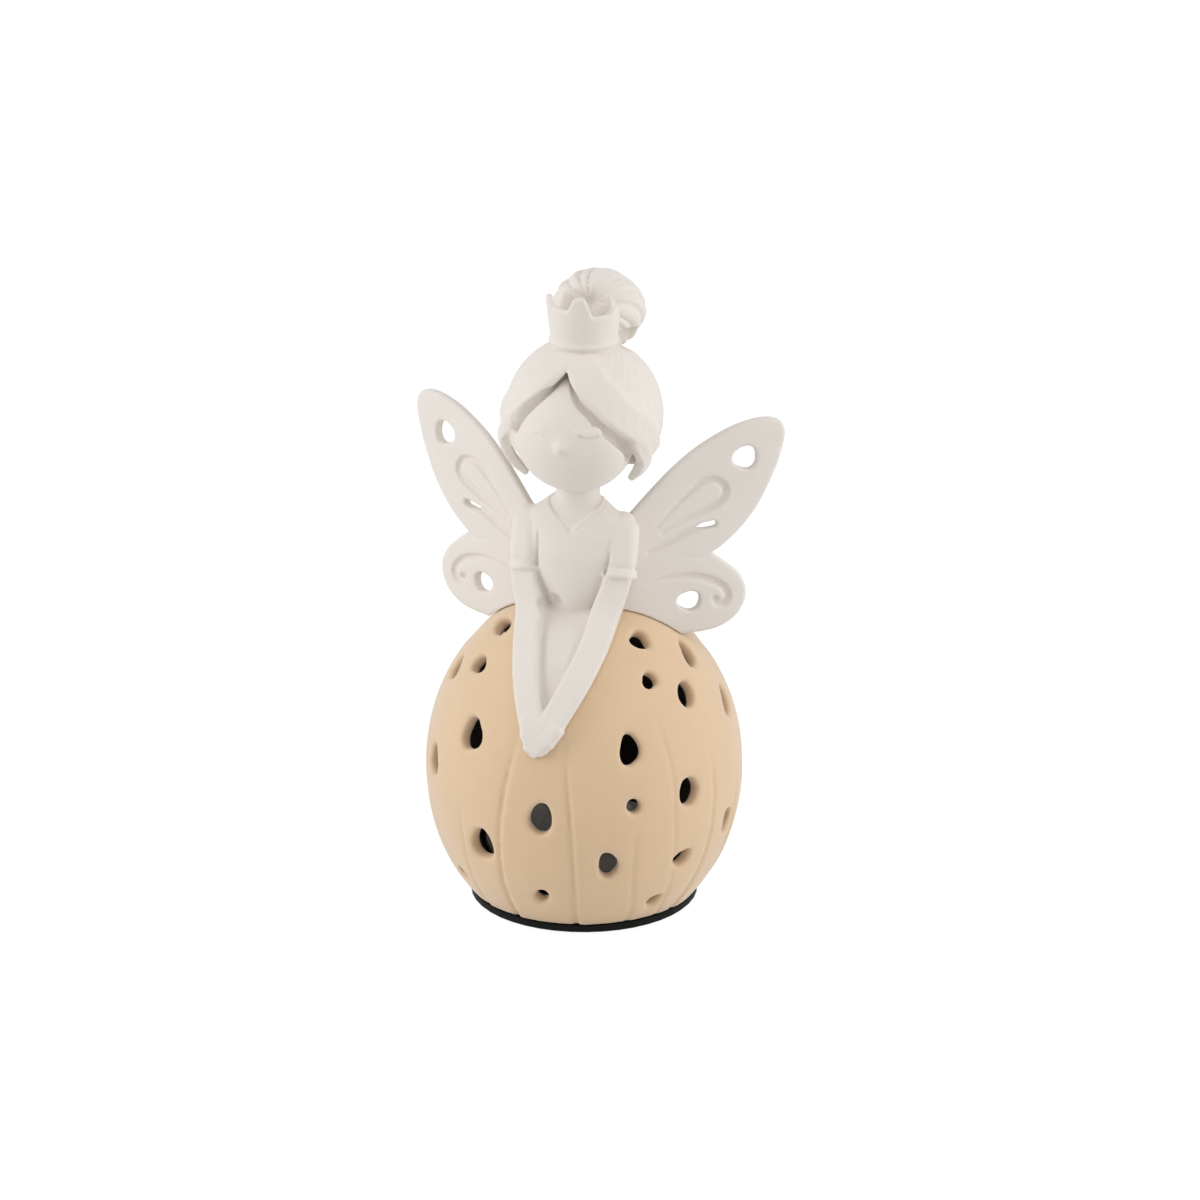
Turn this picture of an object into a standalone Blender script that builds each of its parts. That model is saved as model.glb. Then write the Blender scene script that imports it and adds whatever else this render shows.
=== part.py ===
"""Fairy night light: a fairy seated on a pierced lantern dome, with a battery light in the black base.

Metres, +Z up. The floor is z = 0, the dome's axis is the Z axis and the fairy faces -Y.
"""

import math

import bmesh
import bpy
from mathutils import Matrix, Vector

# Driving dimensions, in metres and degrees.
gap = 0.0003

dome_radius = 0.0511
dome_half_height = 0.0590
dome_centre_height = 0.0440
dome_wall = 0.0045
mouth_radius = 0.0320
fold_width = 0.0017
fold_depth = 0.0006
peg_radius = 0.0050
peg_length = 0.0070
peg_forward = 0.0090

base_radius = 0.0366
base_thickness = 0.0024
base_chamfer = 0.0004
spigot_wall = 0.0016

battery_diameter = 0.0105
battery_length = 0.0445
battery_count = 3
button_radius = 0.0018
button_height = 0.0010
contact_space = 0.0030
contact_thickness = 0.0004
contact_width = 0.0080
spring_radius = 0.0030
spring_wire = 0.0007
spring_turns = 2
bay_roof = 0.0020
wire_space = 0.0020
wire_diameter = 0.0012
wire_feed = 0.0016
wire_hole_radius = 0.0026
wire_hole_back = 0.0095

door_thickness = 0.0016
door_recess = 0.0002
door_overlap = 0.0015
door_tongue_width = 0.0090
screw_radius = 0.0012
screw_head_radius = 0.0022
screw_head_height = 0.0010
screw_length = 0.0065
boss_wall = 0.0018

switch_forward = -0.0240
switch_travel = 0.0020
switch_width = 0.0046
switch_height = 0.0040
switch_wall = 0.0006
slider_block_length = 0.0040
slider_block_height = 0.0012
knob_length = 0.0022
knob_width = 0.0016
knob_recess = 0.0007
finger_dish = 0.0022

deck_thickness = 0.0016
ring_radius = 0.0160
ring_wall = 0.0010
ring_height = 0.0020
board_radius = 0.0140
board_thickness = 0.0016
led_size = 0.0050
led_height = 0.0014
led_count = 3
led_circle = 0.0060
diffuser_wall = 0.0012
diffuser_height = 0.0150

torso_forward = 0.0115
waist_drop = 0.0015
torso_height = 0.0360
torso_depth = 0.0070
waist_half_width = 0.0060
bust_half_width = 0.0133
neck_radius = 0.0065
neck_length = 0.0110
neck_back = 0.0040
lap_lift = 0.0036
lap_half_width = 0.0120
arm_width = 0.0088
arm_lift = 0.0042
arm_depth = 0.0090
sleeve_radius = 0.0055
cuff_height = 0.0026
cuff_step = 0.0007

hair_radius = 0.0249
hair_above_neck = 0.0241
hair_back = 0.0119
nape_drop = 0.0155
nape_slope = 20
face_half_width = 0.0194
face_half_depth = 0.0150
face_half_height = 0.0190
face_forward = 0.0115
face_drop = 0.0025
eye_spacing = 0.0160
eye_width = 0.0070
eye_rise = 0.0032
nose_drop = 0.0001
nose_length = 0.0036
lock_width = 0.0076
lock_thickness = 0.0034
lock_lift = 0.0002
lock_end_width = 0.0043
lock_tip_radius = 0.0011
crown_base_radius = 0.0100
crown_top_radius = 0.0113
crown_wall = 0.0020
crown_turn = 8
crown_depth = 0.0030
bun_half_width = 0.0156
bun_half_depth = 0.0140
bun_half_height = 0.0131
bun_back = 0.0184
bun_above_hair = 0.0289
bun_strands = 16
bun_ridge = 0.022

wing_sweep = 26.5
wing_lean = 3.1
wing_thickness = 0.0030
wing_edge = 0.0008
wing_height = 0.0220
wing_groove = 0.0016
slit_width = 0.0013

round_sides = 44
small_sides = 10
hole_sides = 9

# Dome holes: longitude from the front, latitude, width and height in millimetres, lean in degrees.
front_holes = [
    (-59, 58, 10.3, 6.2, -20), (-49, 43, 6.9, 6.8, 25), (-68, 36, 6.5, 9.0, 20), (-34, 22, 8.8, 12.0, 8),
    (-57, 7, 7.5, 10.5, 0), (-26, -13, 9.5, 12.0, -20), (-1, 0, 8.5, 11.5, 0), (-3, -30, 6.5, 4.8, 80),
    (24, -16, 6.7, 11.1, 12), (33, 4, 5.0, 5.3, 0), (33, 22, 7.2, 11.5, 0), (56, 5, 8.2, 10.2, 10),
    (55, -18, 7.6, 6.0, 50), (47, -35, 6.6, 4.4, 60), (49, 43, 5.3, 6.1, -10), (66, 35, 7.0, 9.3, -15),
    (56, 58, 7.2, 7.2, -40), (84, 46, 6.0, 10.5, -30), (94, 25, 6.5, 11.5, -20), (-48, -31, 5.0, 4.6, 0),
]
back_holes = [
    (82, -12, 7.0, 9.5, 15), (106, 3, 8.0, 11.0, -10), (103, -24, 6.0, 7.5, 30), (118, 40, 7.5, 8.5, 20),
    (130, 16, 6.5, 10.5, 5), (129, -14, 9.0, 11.5, -15), (152, -2, 7.5, 10.0, 10), (150, -30, 6.5, 5.0, 60),
    (158, 27, 8.5, 12.0, -8), (161, -17, 8.5, 11.0, 15), (182, 11, 5.2, 5.6, 0), (-152, 25, 6.8, 10.0, 12),
    (-154, -5, 8.6, 11.5, -12), (-157, -31, 6.0, 5.0, -50), (-128, 5, 6.0, 7.0, 0),
    (-126, -20, 9.0, 11.0, 18), (-121, 34, 7.0, 9.5, -15), (-103, -8, 8.0, 11.5, 8),
    (-100, 18, 5.5, 6.5, 0), (-79, -19, 7.0, 9.0, -10), (-92, 45, 7.0, 8.0, 25), (170, 48, 6.5, 7.0, 0),
]
# Fold lines of the skirt: longitude and latitude at the foot, then at the top.
folds = [
    (-41, -42, -35, 0), (-20, -42, -11, 27), (11, -42, 7, 27), (36, -34, 34, -3), (49, -3, 45, 33),
    (65, -40, 69, 17), (92, -41, 88, 2), (116, -42, 118, 22), (141, -41, 142, 6), (166, -42, 168, 6),
    (-168, -42, -166, 33), (-143, -42, -141, 10), (-115, -42, -113, 14), (-90, -41, -92, 8),
    (-64, -41, -67, 22),
]
# Wing outline from the root's top, round the tip and the notch, to the root's foot, in millimetres.
wing_outline = [
    (5, -5), (12, 0.5), (18, 6.3), (24, 12.6), (30, 18.6), (37, 24.5), (44, 28.9), (51, 32.3), (58, 34.3),
    (63.5, 34.4), (67, 32.6), (68, 29), (67, 24), (65, 18), (62, 11.5), (58.5, 5.2), (54, -0.5), (49, -5.2),
    (44.2, -8.6), (48.6, -12), (52.6, -15.6), (54.8, -19.6), (55.1, -23.2), (53.9, -27), (51, -30.6),
    (46.5, -33.2), (41, -34.4), (35, -34.8), (20, -37), (5, -39),
]
wing_notch = 18
teardrop_groove = [
    (26.2, 1.4), (31, 6.6), (37, 12.2), (40.5, 14.9), (44.4, 15.5), (47.2, 14.2), (48.4, 11.8), (47.6, 9.4),
    (45, 7.4), (39, 4.6), (32, 1.6), (27.4, -0.8),
]
curl_groove = [
    (25.6, -16.6), (30, -15.9), (35.6, -15.6), (40.4, -16.3), (44.6, -17.8), (47.8, -20.2), (49, -22.8),
    (47.8, -24.9), (45.6, -25.2), (44.7, -23.6),
]
slit_line = [(25.6, -6), (32, -3), (39, 0), (44.6, 1)]
# Holes in a wing: place, half width and half height, in millimetres.
wing_holes = [(54.9, 22.0, 3.9, 3.75), (36.5, -23.8, 3.7, 3.1)]
# Edges of the fringe from the parting down: out and up from the hair's middle, in millimetres.
fringe_right = [
    (-0.6, 18.6), (0.8, 16.2), (2.6, 13.9), (4.9, 11.0), (8.4, 8.1), (12.4, 3.8), (16.5, -0.5),
    (18.9, -4.2), (20.2, -8.6),
]
fringe_left = [
    (0.9, 18.7), (2.8, 16.6), (5.6, 13.8), (8.6, 11.0), (11.9, 7.8), (14.7, 4.4), (16.7, 0.9), (17.8, -1.0),
]
# Free ends of the locks below the fringe's edges: out, forward and up from the hair's middle, in millimetres.
lock_end_right = [(21.4, -9.2, -10.8), (20.2, -8.6, -13.8), (17.2, -7.8, -17.4)]
lock_end_left = [(23.3, -9.6, -6.4), (22.4, -9.2, -10.6), (20.0, -8.6, -14.9), (16.8, -8.0, -18.1)]
# Crown: heights of its prongs, and of the gaps after them, from the front to the right, in millimetres.
crown_prongs = [18.3, 13.8, 14.2, 14.8, 16.8]
crown_gaps = [11.4, 9.8, 9.4, 10.4, 12.6]

MM = 0.001
dome_top = dome_centre_height + dome_half_height
dome_foot = base_thickness + gap
spigot_radius = mouth_radius - gap
waist_height = dome_top - waist_drop
neck_height = waist_height + torso_height
hair_centre = Vector((0, hair_back - torso_forward, neck_height + hair_above_neck))
face_centre = hair_centre + Vector((0, -face_forward, -face_drop))


def make_material(name, hex_colour, roughness, metallic=0.0):
    """Principled material from an sRGB hex colour."""
    material = bpy.data.materials.new(name)
    material.use_nodes = True
    shader = material.node_tree.nodes["Principled BSDF"]
    linear = []
    for start in (0, 2, 4):
        share = int(hex_colour[start:start + 2], 16) / 255
        linear.append(share / 12.92 if share <= 0.04045 else ((share + 0.055) / 1.055) ** 2.4)
    shader.inputs["Base Color"].default_value = (*linear, 1.0)
    shader.inputs["Roughness"].default_value = roughness
    shader.inputs["Metallic"].default_value = metallic
    material.diffuse_color = (*linear, 1.0)
    return material


def make_object(name, bm, material=None, sharp=40):
    """Named object from a bmesh, shaded smooth but for its sharp edges."""
    bmesh.ops.recalc_face_normals(bm, faces=bm.faces)
    mesh = bpy.data.meshes.new(name)
    bm.to_mesh(mesh)
    bm.free()
    mesh.shade_smooth()
    mesh.set_sharp_from_angle(angle=math.radians(sharp))
    obj = bpy.data.objects.new(name, mesh)
    bpy.context.scene.collection.objects.link(obj)
    if material:
        mesh.materials.append(material)
    return obj


def bake(obj):
    """Replaces an object's mesh by the one that its modifiers make."""
    graph = bpy.context.evaluated_depsgraph_get()
    mesh = bpy.data.meshes.new_from_object(obj.evaluated_get(graph))
    obj.modifiers.clear()
    obj.data = mesh


def combine(obj, bm, operation, crossing):
    """Joins a form to an object, or cuts it away. Crossing is for forms that cross themselves."""
    tool = make_object("tool", bm)
    tool.hide_render = True
    tool.display_type = "WIRE"
    modifier = obj.modifiers.new(operation, "BOOLEAN")
    modifier.operation = operation
    modifier.solver = "EXACT"
    modifier.use_self = crossing
    modifier.object = tool
    bake(obj)
    mesh = tool.data
    bpy.data.objects.remove(tool)
    bpy.data.meshes.remove(mesh)


def fuse(obj, bm, crossing=False):
    combine(obj, bm, "UNION", crossing)


def cut(obj, bm, crossing=False):
    combine(obj, bm, "DIFFERENCE", crossing)


def loft(rings, into=None):
    """Closed solid through rings of equally many points, capped at both ends."""
    bm = into or bmesh.new()
    loops = [[bm.verts.new(point) for point in ring] for ring in rings]
    count = len(loops[0])
    for lower, upper in zip(loops, loops[1:]):
        for i in range(count):
            j = (i + 1) % count
            bm.faces.new((lower[i], lower[j], upper[j], upper[i]))
    bm.faces.new(list(reversed(loops[0])))
    bm.faces.new(loops[-1])
    return bm


def turned(profile, sides=round_sides, centre=(0, 0), into=None):
    """Solid turned about a vertical axis, from a profile of radius and height."""
    bm = into or bmesh.new()
    rings = []
    for radius, height in profile:
        if radius < 1e-7:
            rings.append([bm.verts.new((centre[0], centre[1], height))])
            continue
        ring = []
        for i in range(sides):
            angle = 2 * math.pi * i / sides
            x = centre[0] + radius * math.cos(angle)
            y = centre[1] + radius * math.sin(angle)
            ring.append(bm.verts.new((x, y, height)))
        rings.append(ring)
    open_loop = len(rings[0]) == 1 and len(rings[-1]) == 1
    following = rings[1:] if open_loop else rings[1:] + rings[:1]
    for lower, upper in zip(rings, following):
        for i in range(sides):
            j = (i + 1) % sides
            corners = [lower[i % len(lower)], lower[j % len(lower)]]
            corners += [upper[j % len(upper)], upper[i % len(upper)]]
            face = list(dict.fromkeys(corners))
            if len(face) > 2:
                bm.faces.new(face)
    return bm


def disc(radius, bottom, top, centre=(0, 0), sides=small_sides, into=None):
    return turned([(0, bottom), (radius, bottom), (radius, top), (0, top)], sides, centre, into)


def block(low, high, into=None):
    """Box between two corners."""
    (x0, y0, z0), (x1, y1, z1) = low, high
    rings = [[(x0, y0, z), (x1, y0, z), (x1, y1, z), (x0, y1, z)] for z in (z0, z1)]
    return loft(rings, into)


def ellipsoid(centre, half_axes, sides=28, rings=16):
    bm = bmesh.new()
    bmesh.ops.create_uvsphere(bm, u_segments=sides, v_segments=rings, radius=1.0)
    place = Matrix.Translation(centre) @ Matrix.Diagonal((*half_axes, 1))
    bmesh.ops.transform(bm, matrix=place, verts=bm.verts)
    return bm


def curve_through(points, steps):
    """Smooth open curve through points, with a number of steps to each span."""
    points = [Vector(point) for point in points]
    ends = [points[0] * 2 - points[1]] + points + [points[-1] * 2 - points[-2]]
    curve = []
    for a, b, c, d in zip(ends, ends[1:], ends[2:], ends[3:]):
        for step in range(steps):
            t = step / steps
            bend = (2 * a - 5 * b + 4 * c - d) * t ** 2 + (3 * b - a - 3 * c + d) * t ** 3
            curve.append((2 * b + (c - a) * t + bend) / 2)
    return curve + [points[-1]]


def sweep(path, sizes, outwards, sides=8, squareness=1.0, into=None):
    """Solid along a path. Each station has a half width and half height, and the way its top faces."""
    rings = []
    for i, point in enumerate(path):
        ahead = (path[min(i + 1, len(path) - 1)] - path[max(i - 1, 0)]).normalized()
        across = ahead.cross(outwards[i]).normalized()
        upward = across.cross(ahead).normalized()
        half_width, half_height = sizes[i]
        ring = []
        for k in range(sides):
            angle = 2 * math.pi * (k + 0.5) / sides
            c, s = math.cos(angle), math.sin(angle)
            u = math.copysign(abs(c) ** squareness, c) * half_width
            v = math.copysign(abs(s) ** squareness, s) * half_height
            ring.append(point + across * u + upward * v)
        rings.append(ring)
    return loft(rings, into)


def spread(values, count):
    """Values of a short list, spread evenly over a number of stations."""
    result = []
    for i in range(count):
        place = i / (count - 1) * (len(values) - 1)
        low = min(int(place), len(values) - 2)
        share = place - low
        result.append([a + (b - a) * share for a, b in zip(values[low], values[low + 1])])
    return result


def mirrored(bm):
    """The same form on the other side of the fairy."""
    bmesh.ops.transform(bm, matrix=Matrix.Scale(-1, 4, (1, 0, 0)), verts=bm.verts)
    bmesh.ops.reverse_faces(bm, faces=bm.faces)
    return bm


def dome_point(longitude, latitude, lift=0.0):
    """Point on the dome, or lifted off it, and the way its surface faces there."""
    turn, rise = math.radians(longitude), math.radians(latitude)
    flat = Vector((math.sin(turn), -math.cos(turn), 0))
    point = flat * dome_radius * math.cos(rise) + Vector((0, 0, dome_half_height * math.sin(rise)))
    normal = Vector((point.x / dome_radius ** 2, point.y / dome_radius ** 2, point.z / dome_half_height ** 2))
    normal.normalize()
    return point + Vector((0, 0, dome_centre_height)) + normal * lift, normal


def above_dome(x, y, lift):
    """Point over a place in plan, lifted off the dome's surface, and the way the surface faces there."""
    share = min(math.hypot(x, y) / dome_radius, 0.999)
    longitude = math.degrees(math.atan2(x, -y))
    return dome_point(longitude, math.degrees(math.acos(share)), lift)


def dome_profile(radius, half_height, low_height, steps=14):
    """Elliptical arc from the axis at the top down to the given height."""
    low = math.asin((low_height - dome_centre_height) / half_height)
    arc = [(0, dome_centre_height + half_height)]
    for i in range(1, steps + 1):
        angle = math.pi / 2 + (low - math.pi / 2) * i / steps
        arc.append((radius * math.cos(angle), dome_centre_height + half_height * math.sin(angle)))
    return arc


def hole_cutter(bm, longitude, latitude, width, height, lean):
    """Tapered teardrop through the dome's wall, wider at the rim."""
    point, normal = dome_point(longitude, latitude)
    side = Vector((0, 0, 1)).cross(normal).normalized()
    turn = Matrix.Rotation(math.radians(lean), 3, normal)
    side = turn @ side
    upward = normal.cross(side)
    rings = []
    for depth, scale in ((-dome_wall * 1.9, 0.80), (-0.0011, 0.90), (0.0020, 1.30)):
        ring = []
        for k in range(hole_sides):
            angle = 2 * math.pi * k / hole_sides
            u = width * MM / 2 * scale * math.cos(angle) * (1 - 0.22 * math.sin(angle))
            v = height * MM / 2 * scale * math.sin(angle)
            ring.append(point + normal * depth + side * u + upward * v)
        rings.append(ring)
    return loft(rings, bm)


def make_dome(material):
    """Pierced shell with skirt folds, open at its mouth and with a socket for the figure's peg."""
    outer = dome_profile(dome_radius, dome_half_height, dome_foot)
    inner_radius = dome_radius - dome_wall
    inner_half_height = dome_half_height - dome_wall
    inner_rise = math.sqrt(1 - (mouth_radius / inner_radius) ** 2)
    ledge = dome_centre_height - inner_half_height * inner_rise
    inner = dome_profile(inner_radius, inner_half_height, ledge, 8)
    profile = outer + [(mouth_radius, dome_foot)] + list(reversed(inner))
    dome = make_object("lantern_dome", turned(profile), material)
    grooves = bmesh.new()
    for foot_turn, foot_rise, top_turn, top_rise in folds:
        path, sizes, outwards = [], [], []
        for i in range(6):
            share = i / 5
            turn = foot_turn + (top_turn - foot_turn) * share
            rise = foot_rise - 3 + (top_rise - foot_rise + 3) * share
            point, normal = dome_point(turn, rise, fold_width / 2 - fold_depth)
            path.append(point)
            outwards.append(normal)
            thick = fold_width / 2 * (1.0 if share < 0.6 else 1.25 - share * 0.42)
            sizes.append((thick, thick))
        sweep(path, sizes, outwards, 4, 1.0, grooves)
    cut(dome, grooves)
    holes = bmesh.new()
    for hole in front_holes + back_holes:
        hole_cutter(holes, *hole)
    cut(dome, holes)
    cut(dome, disc(peg_radius + gap, dome_top - 0.02, dome_top + 0.01, (0, -peg_forward)))
    return dome


def wing_frame():
    """Root point of the right wing and the ways out along it, up it and towards its front."""
    sweep_angle, lean = math.radians(wing_sweep), math.radians(wing_lean)
    out = Vector((math.cos(sweep_angle), math.sin(sweep_angle), 0))
    upward = Vector((-math.sin(sweep_angle), math.cos(sweep_angle), 0)) * math.sin(lean)
    upward += Vector((0, 0, math.cos(lean)))
    root = Vector((0, -torso_forward, dome_top + wing_height))
    return root, out, upward, upward.cross(out).normalized()


def on_wing(place, depth=0.0):
    root, out, upward, front = wing_frame()
    return root + out * place[0] * MM + upward * place[1] * MM - front * depth


def wing_form():
    """Right wing as one plate with rounded edges, its holes, slit and engraved veins."""
    upper = curve_through([(u, v, 0) for u, v in wing_outline[:wing_notch + 1]], 2)
    lower = curve_through([(u, v, 0) for u, v in wing_outline[wing_notch:]], 2)
    outline = [(point.x, point.y) for point in upper + lower[1:]]
    bm = bmesh.new()
    half = wing_thickness / 2
    rings = []
    flat = half - wing_edge
    for depth, inset in ((-half, wing_edge), (-flat, 0), (flat, 0), (half, wing_edge)):
        ring = []
        for i, place in enumerate(outline):
            before = Vector(outline[i - 1])
            after = Vector(outline[(i + 1) % len(outline)])
            along = (after - before).normalized()
            inward = Vector((along.y, -along.x))
            ring.append(on_wing(Vector(place) + inward * inset / MM, depth))
        rings.append(ring)
    loft(rings, bm)
    wing = make_object("wing_form", bm)
    _, out, upward, front = wing_frame()
    through = wing_thickness
    for place_out, place_up, half_width, half_height in wing_holes:
        middle = on_wing((place_out, place_up))
        ring = []
        for k in range(small_sides):
            angle = 2 * math.pi * k / small_sides
            spot = out * math.cos(angle) * half_width + upward * math.sin(angle) * half_height
            ring.append(middle + spot * MM)
        cut(wing, loft([[p - front * through for p in ring], [p + front * through for p in ring]]))
    slit = curve_through([on_wing(place) for place in slit_line], 1)
    cut(wing, sweep(slit, [(slit_width / 2, through)] * len(slit), [front] * len(slit), 8, 0.3))
    for line in (teardrop_groove, curl_groove):
        for side in (-1, 1):
            path = curve_through([on_wing(place, side * half) for place in line], 1)
            deep = wing_groove / 2
            shares = (0.5, 1, 1, 1, 0.6)
            sizes = spread([(deep * share, deep * share) for share in shares], len(path))
            cut(wing, sweep(path, sizes, [front] * len(path), 5))
    bm = bmesh.new()
    bm.from_mesh(wing.data)
    bpy.data.objects.remove(wing)
    return bm


def torso_form():
    """Bodice from the hips to the base of the neck, wide at the shoulders and narrow at the waist."""
    stations = [
        (-0.0100, 0.0110, 1.25), (-0.0020, 0.0080, 1.05), (0.0, waist_half_width, 0.86),
        (0.0050, 0.0086, 0.94), (0.0115, 0.0116, 1.04), (0.0185, bust_half_width, 1.10),
        (0.0250, 0.0140, 0.98), (0.0290, 0.0142, 0.84), (0.0313, 0.0124, 0.80), (0.0338, 0.0092, 0.86),
        (torso_height, neck_radius, 0.90),
    ]
    rings = []
    for rise, half_width, fullness in stations:
        ring = []
        for k in range(20):
            angle = 2 * math.pi * k / 20
            x = half_width * math.cos(angle)
            y = neck_back * max(rise / torso_height, 0) ** 4 - torso_forward
            y += torso_depth * fullness * math.sin(angle)
            ring.append((x, y, waist_height + rise))
        rings.append(ring)
    return loft(rings)


def lap_form():
    """Front of the dress between the arms: a soft ridge that lies on the dome from the waist to the hands."""
    path, sizes, outwards = [], [], []
    for i in range(9):
        share = i / 8
        y = -torso_forward - 0.002 - share * (dome_radius - torso_forward - 0.0095)
        point, normal = above_dome(0, y, -0.001)
        path.append(point)
        outwards.append(normal)
        half_width = lap_half_width * (1 - 0.75 * share)
        sizes.append((half_width, 0.001 + lap_lift * (1 - 0.35 * share)))
    return sweep(path, sizes, outwards, 12, 0.9)


def arm_path():
    """Middle line of the right arm, from the shoulder to the hands, with the way its outer face looks."""
    shoulder = Vector((0.0148, -torso_forward + 0.0030, waist_height + 0.0270))
    elbow = Vector((0.0146, -torso_forward - 0.0020, waist_height + 0.0115))
    lower = [(33, 67, 0.0085), (22, 57, 0.0050), (13, 45, arm_lift), (7, 35, arm_lift), (3, 27.5, arm_lift)]
    lower.append((0.8, 23, arm_lift * 0.8))
    points, outwards = [shoulder, elbow], [Vector((0.3, -0.95, 0)), Vector((0.25, -0.95, 0.2))]
    for longitude, latitude, lift in lower:
        point, normal = dome_point(longitude, latitude, lift - arm_depth / 2)
        points.append(point)
        outwards.append(normal)
    return points, outwards


def arm_form():
    """Forearm and upper arm as one boxy bar with rounded corners, lying on the dome."""
    points, faces = arm_path()
    path = curve_through(points, 2)
    outwards = curve_through(faces, 2)
    half, deep = arm_width / 2, arm_depth / 2
    stations = [(half * 0.9, half * 0.9), (half, half), (half, deep), (half, deep), (half, deep)]
    stations += [(half * 0.95, deep), (half * 0.9, deep), (half * 0.6, deep * 0.8)]
    return sweep(path, spread(stations, len(path)), outwards, 12, 0.62)


def hand_form():
    """Both hands folded to one blunt block at the end of the arms."""
    path, outwards = [], []
    for rise in (33, 28, 24, 22):
        point, normal = dome_point(0, rise)
        path.append(point)
        outwards.append(normal)
    shares = ((0.72, 0.97), (0.66, 0.97), (0.48, 0.9), (0.28, 0.6))
    sizes = [(arm_width * share, arm_lift * rise) for share, rise in shares]
    return sweep(path, sizes, outwards, 12, 0.6)


def sleeve_form():
    """Short sleeve of the right arm with its rolled cuff."""
    points, faces = arm_path()
    top, foot = points[0], points[1]
    outward = faces[0]
    axis = (foot - top).normalized()
    length = (foot - top).length
    path, sizes = [], []
    cuff_radius = sleeve_radius + cuff_step
    for along, scale in ((-0.0030, 0.45), (-0.0018, 0.80), (0.0, 0.95), (0.005, 1.0)):
        path.append(top + axis * along)
        sizes.append((sleeve_radius * scale, sleeve_radius * scale))
    roll = length - cuff_height
    soft = cuff_height * 0.15
    for along, radius in ((0, sleeve_radius), (soft, cuff_radius), (cuff_height - soft, cuff_radius)):
        path.append(top + axis * (roll + along))
        sizes.append((radius, radius))
    path.append(top + axis * length)
    sizes.append((sleeve_radius, sleeve_radius))
    return sweep(path, sizes, [outward] * len(path), 14, 0.9)


def ball_point(x, height, lift=0.0):
    """Point on the front of the hair ball, level with a height above its centre, and its outward way."""
    reach = hair_radius + lift
    depth = math.sqrt(max(reach ** 2 - x ** 2 - height ** 2, 0))
    return hair_centre + Vector((x, -depth, height))


def lock_form(side, edge, end):
    """One half of the fringe: a lock from the parting, over the temple, to its free tip."""
    half, thick = lock_width / 2, lock_thickness / 2
    stations = [(half * 0.4,), (half * 0.9,), (half,), (half * 0.9,), (lock_end_width / 2,)]
    widths = [width for width, in spread(stations, len(edge))]
    points, sizes = [], []
    for i, place in enumerate(edge):
        before = Vector(edge[max(i - 1, 0)])
        after = Vector(edge[min(i + 1, len(edge) - 1)])
        down = (after - before).normalized()
        x, height = Vector(place) * MM + Vector((-down.y, down.x)) * widths[i]
        points.append(ball_point(side * x, height, lock_lift))
        sizes.append((widths[i], thick))
    for x, y, height in end:
        points.append(hair_centre + Vector((side * x, y, height)) * MM)
        sizes.append((lock_end_width / 2, thick * 1.2))
    sizes[-1] = (lock_tip_radius, lock_tip_radius)
    path = curve_through(points, 2)
    outwards = [(point - hair_centre).normalized() for point in path]
    return sweep(path, spread(sizes, len(path)), outwards, 8)


def face_opening():
    """Prism that opens the front of the hair ball, from the parting down to both tips."""
    foot = -hair_radius / MM
    right = fringe_right + [(fringe_right[-1][0], foot)]
    left = [(-x, height) for x, height in fringe_left + [(fringe_left[-1][0], foot)]]
    ring = [hair_centre + Vector((x, 0, height)) * MM for x, height in right + list(reversed(left))]
    front = Vector((0, -2 * hair_radius, 0))
    back = Vector((0, -face_forward * 0.6, 0))
    return loft([[point + back for point in ring], [point + front for point in ring]])


def crown_rim(angle):
    """Height of the crown's rim over its foot, at an angle from the front prong towards the right."""
    step = math.pi / len(crown_prongs)
    levels = []
    for prong, hollow in zip(crown_prongs, crown_gaps):
        levels += [prong, hollow]
    place = angle / step
    low = int(place) % len(levels)
    share = (1 - math.cos(math.pi * (place % 1))) / 2
    return (levels[low] + (levels[(low + 1) % len(levels)] - levels[low]) * share) * MM


def crown_form():
    """Open crown of blunt prongs, standing on the hair."""
    rim = math.sqrt(hair_radius ** 2 - crown_base_radius ** 2)
    sides = 8 * len(crown_prongs)
    rings = []
    for outside, level in ((True, 0), (True, 1), (False, 1), (False, 0)):
        ring = []
        for k in range(sides):
            angle = 2 * math.pi * k / sides
            turn = angle + math.radians(crown_turn)
            radius = crown_top_radius if level else crown_base_radius
            if not outside:
                radius -= crown_wall
            z = rim + crown_rim(angle) if level else rim - crown_depth
            ring.append(hair_centre + Vector((radius * math.sin(turn), -radius * math.cos(turn), z)))
        rings.append(ring)
    bm = bmesh.new()
    loops = [[bm.verts.new(point) for point in ring] for ring in rings]
    for lower, upper in zip(loops, loops[1:] + loops[:1]):
        for i in range(sides):
            j = (i + 1) % sides
            bm.faces.new((lower[i], lower[j], upper[j], upper[i]))
    return bm


def bun_form():
    """Gathered bun: a squashed ball whose strands run from a dimple inside the crown to the back."""
    centre = hair_centre + Vector((0, bun_back, bun_above_hair))
    sides, rows = bun_strands * 2, 10
    bm = bmesh.new()
    rings = []
    for row in range(1, rows):
        polar = math.pi * row / rows
        ring = []
        for k in range(sides):
            angle = 2 * math.pi * k / sides + 0.35 * polar
            ridge = 1 + bun_ridge * (1 if k % 2 else -1) * math.sin(polar)
            x = bun_half_width * math.sin(polar) * math.cos(angle) * ridge
            z = bun_half_height * math.sin(polar) * math.sin(angle) * ridge
            y = -bun_half_depth * math.cos(polar)
            ring.append(centre + Vector((x, y, z)))
        rings.append(ring)
    loft(rings, bm)
    bmesh.ops.rotate(bm, cent=centre, matrix=Matrix.Rotation(math.radians(-25), 3, "X"), verts=bm.verts)
    return bm


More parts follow.
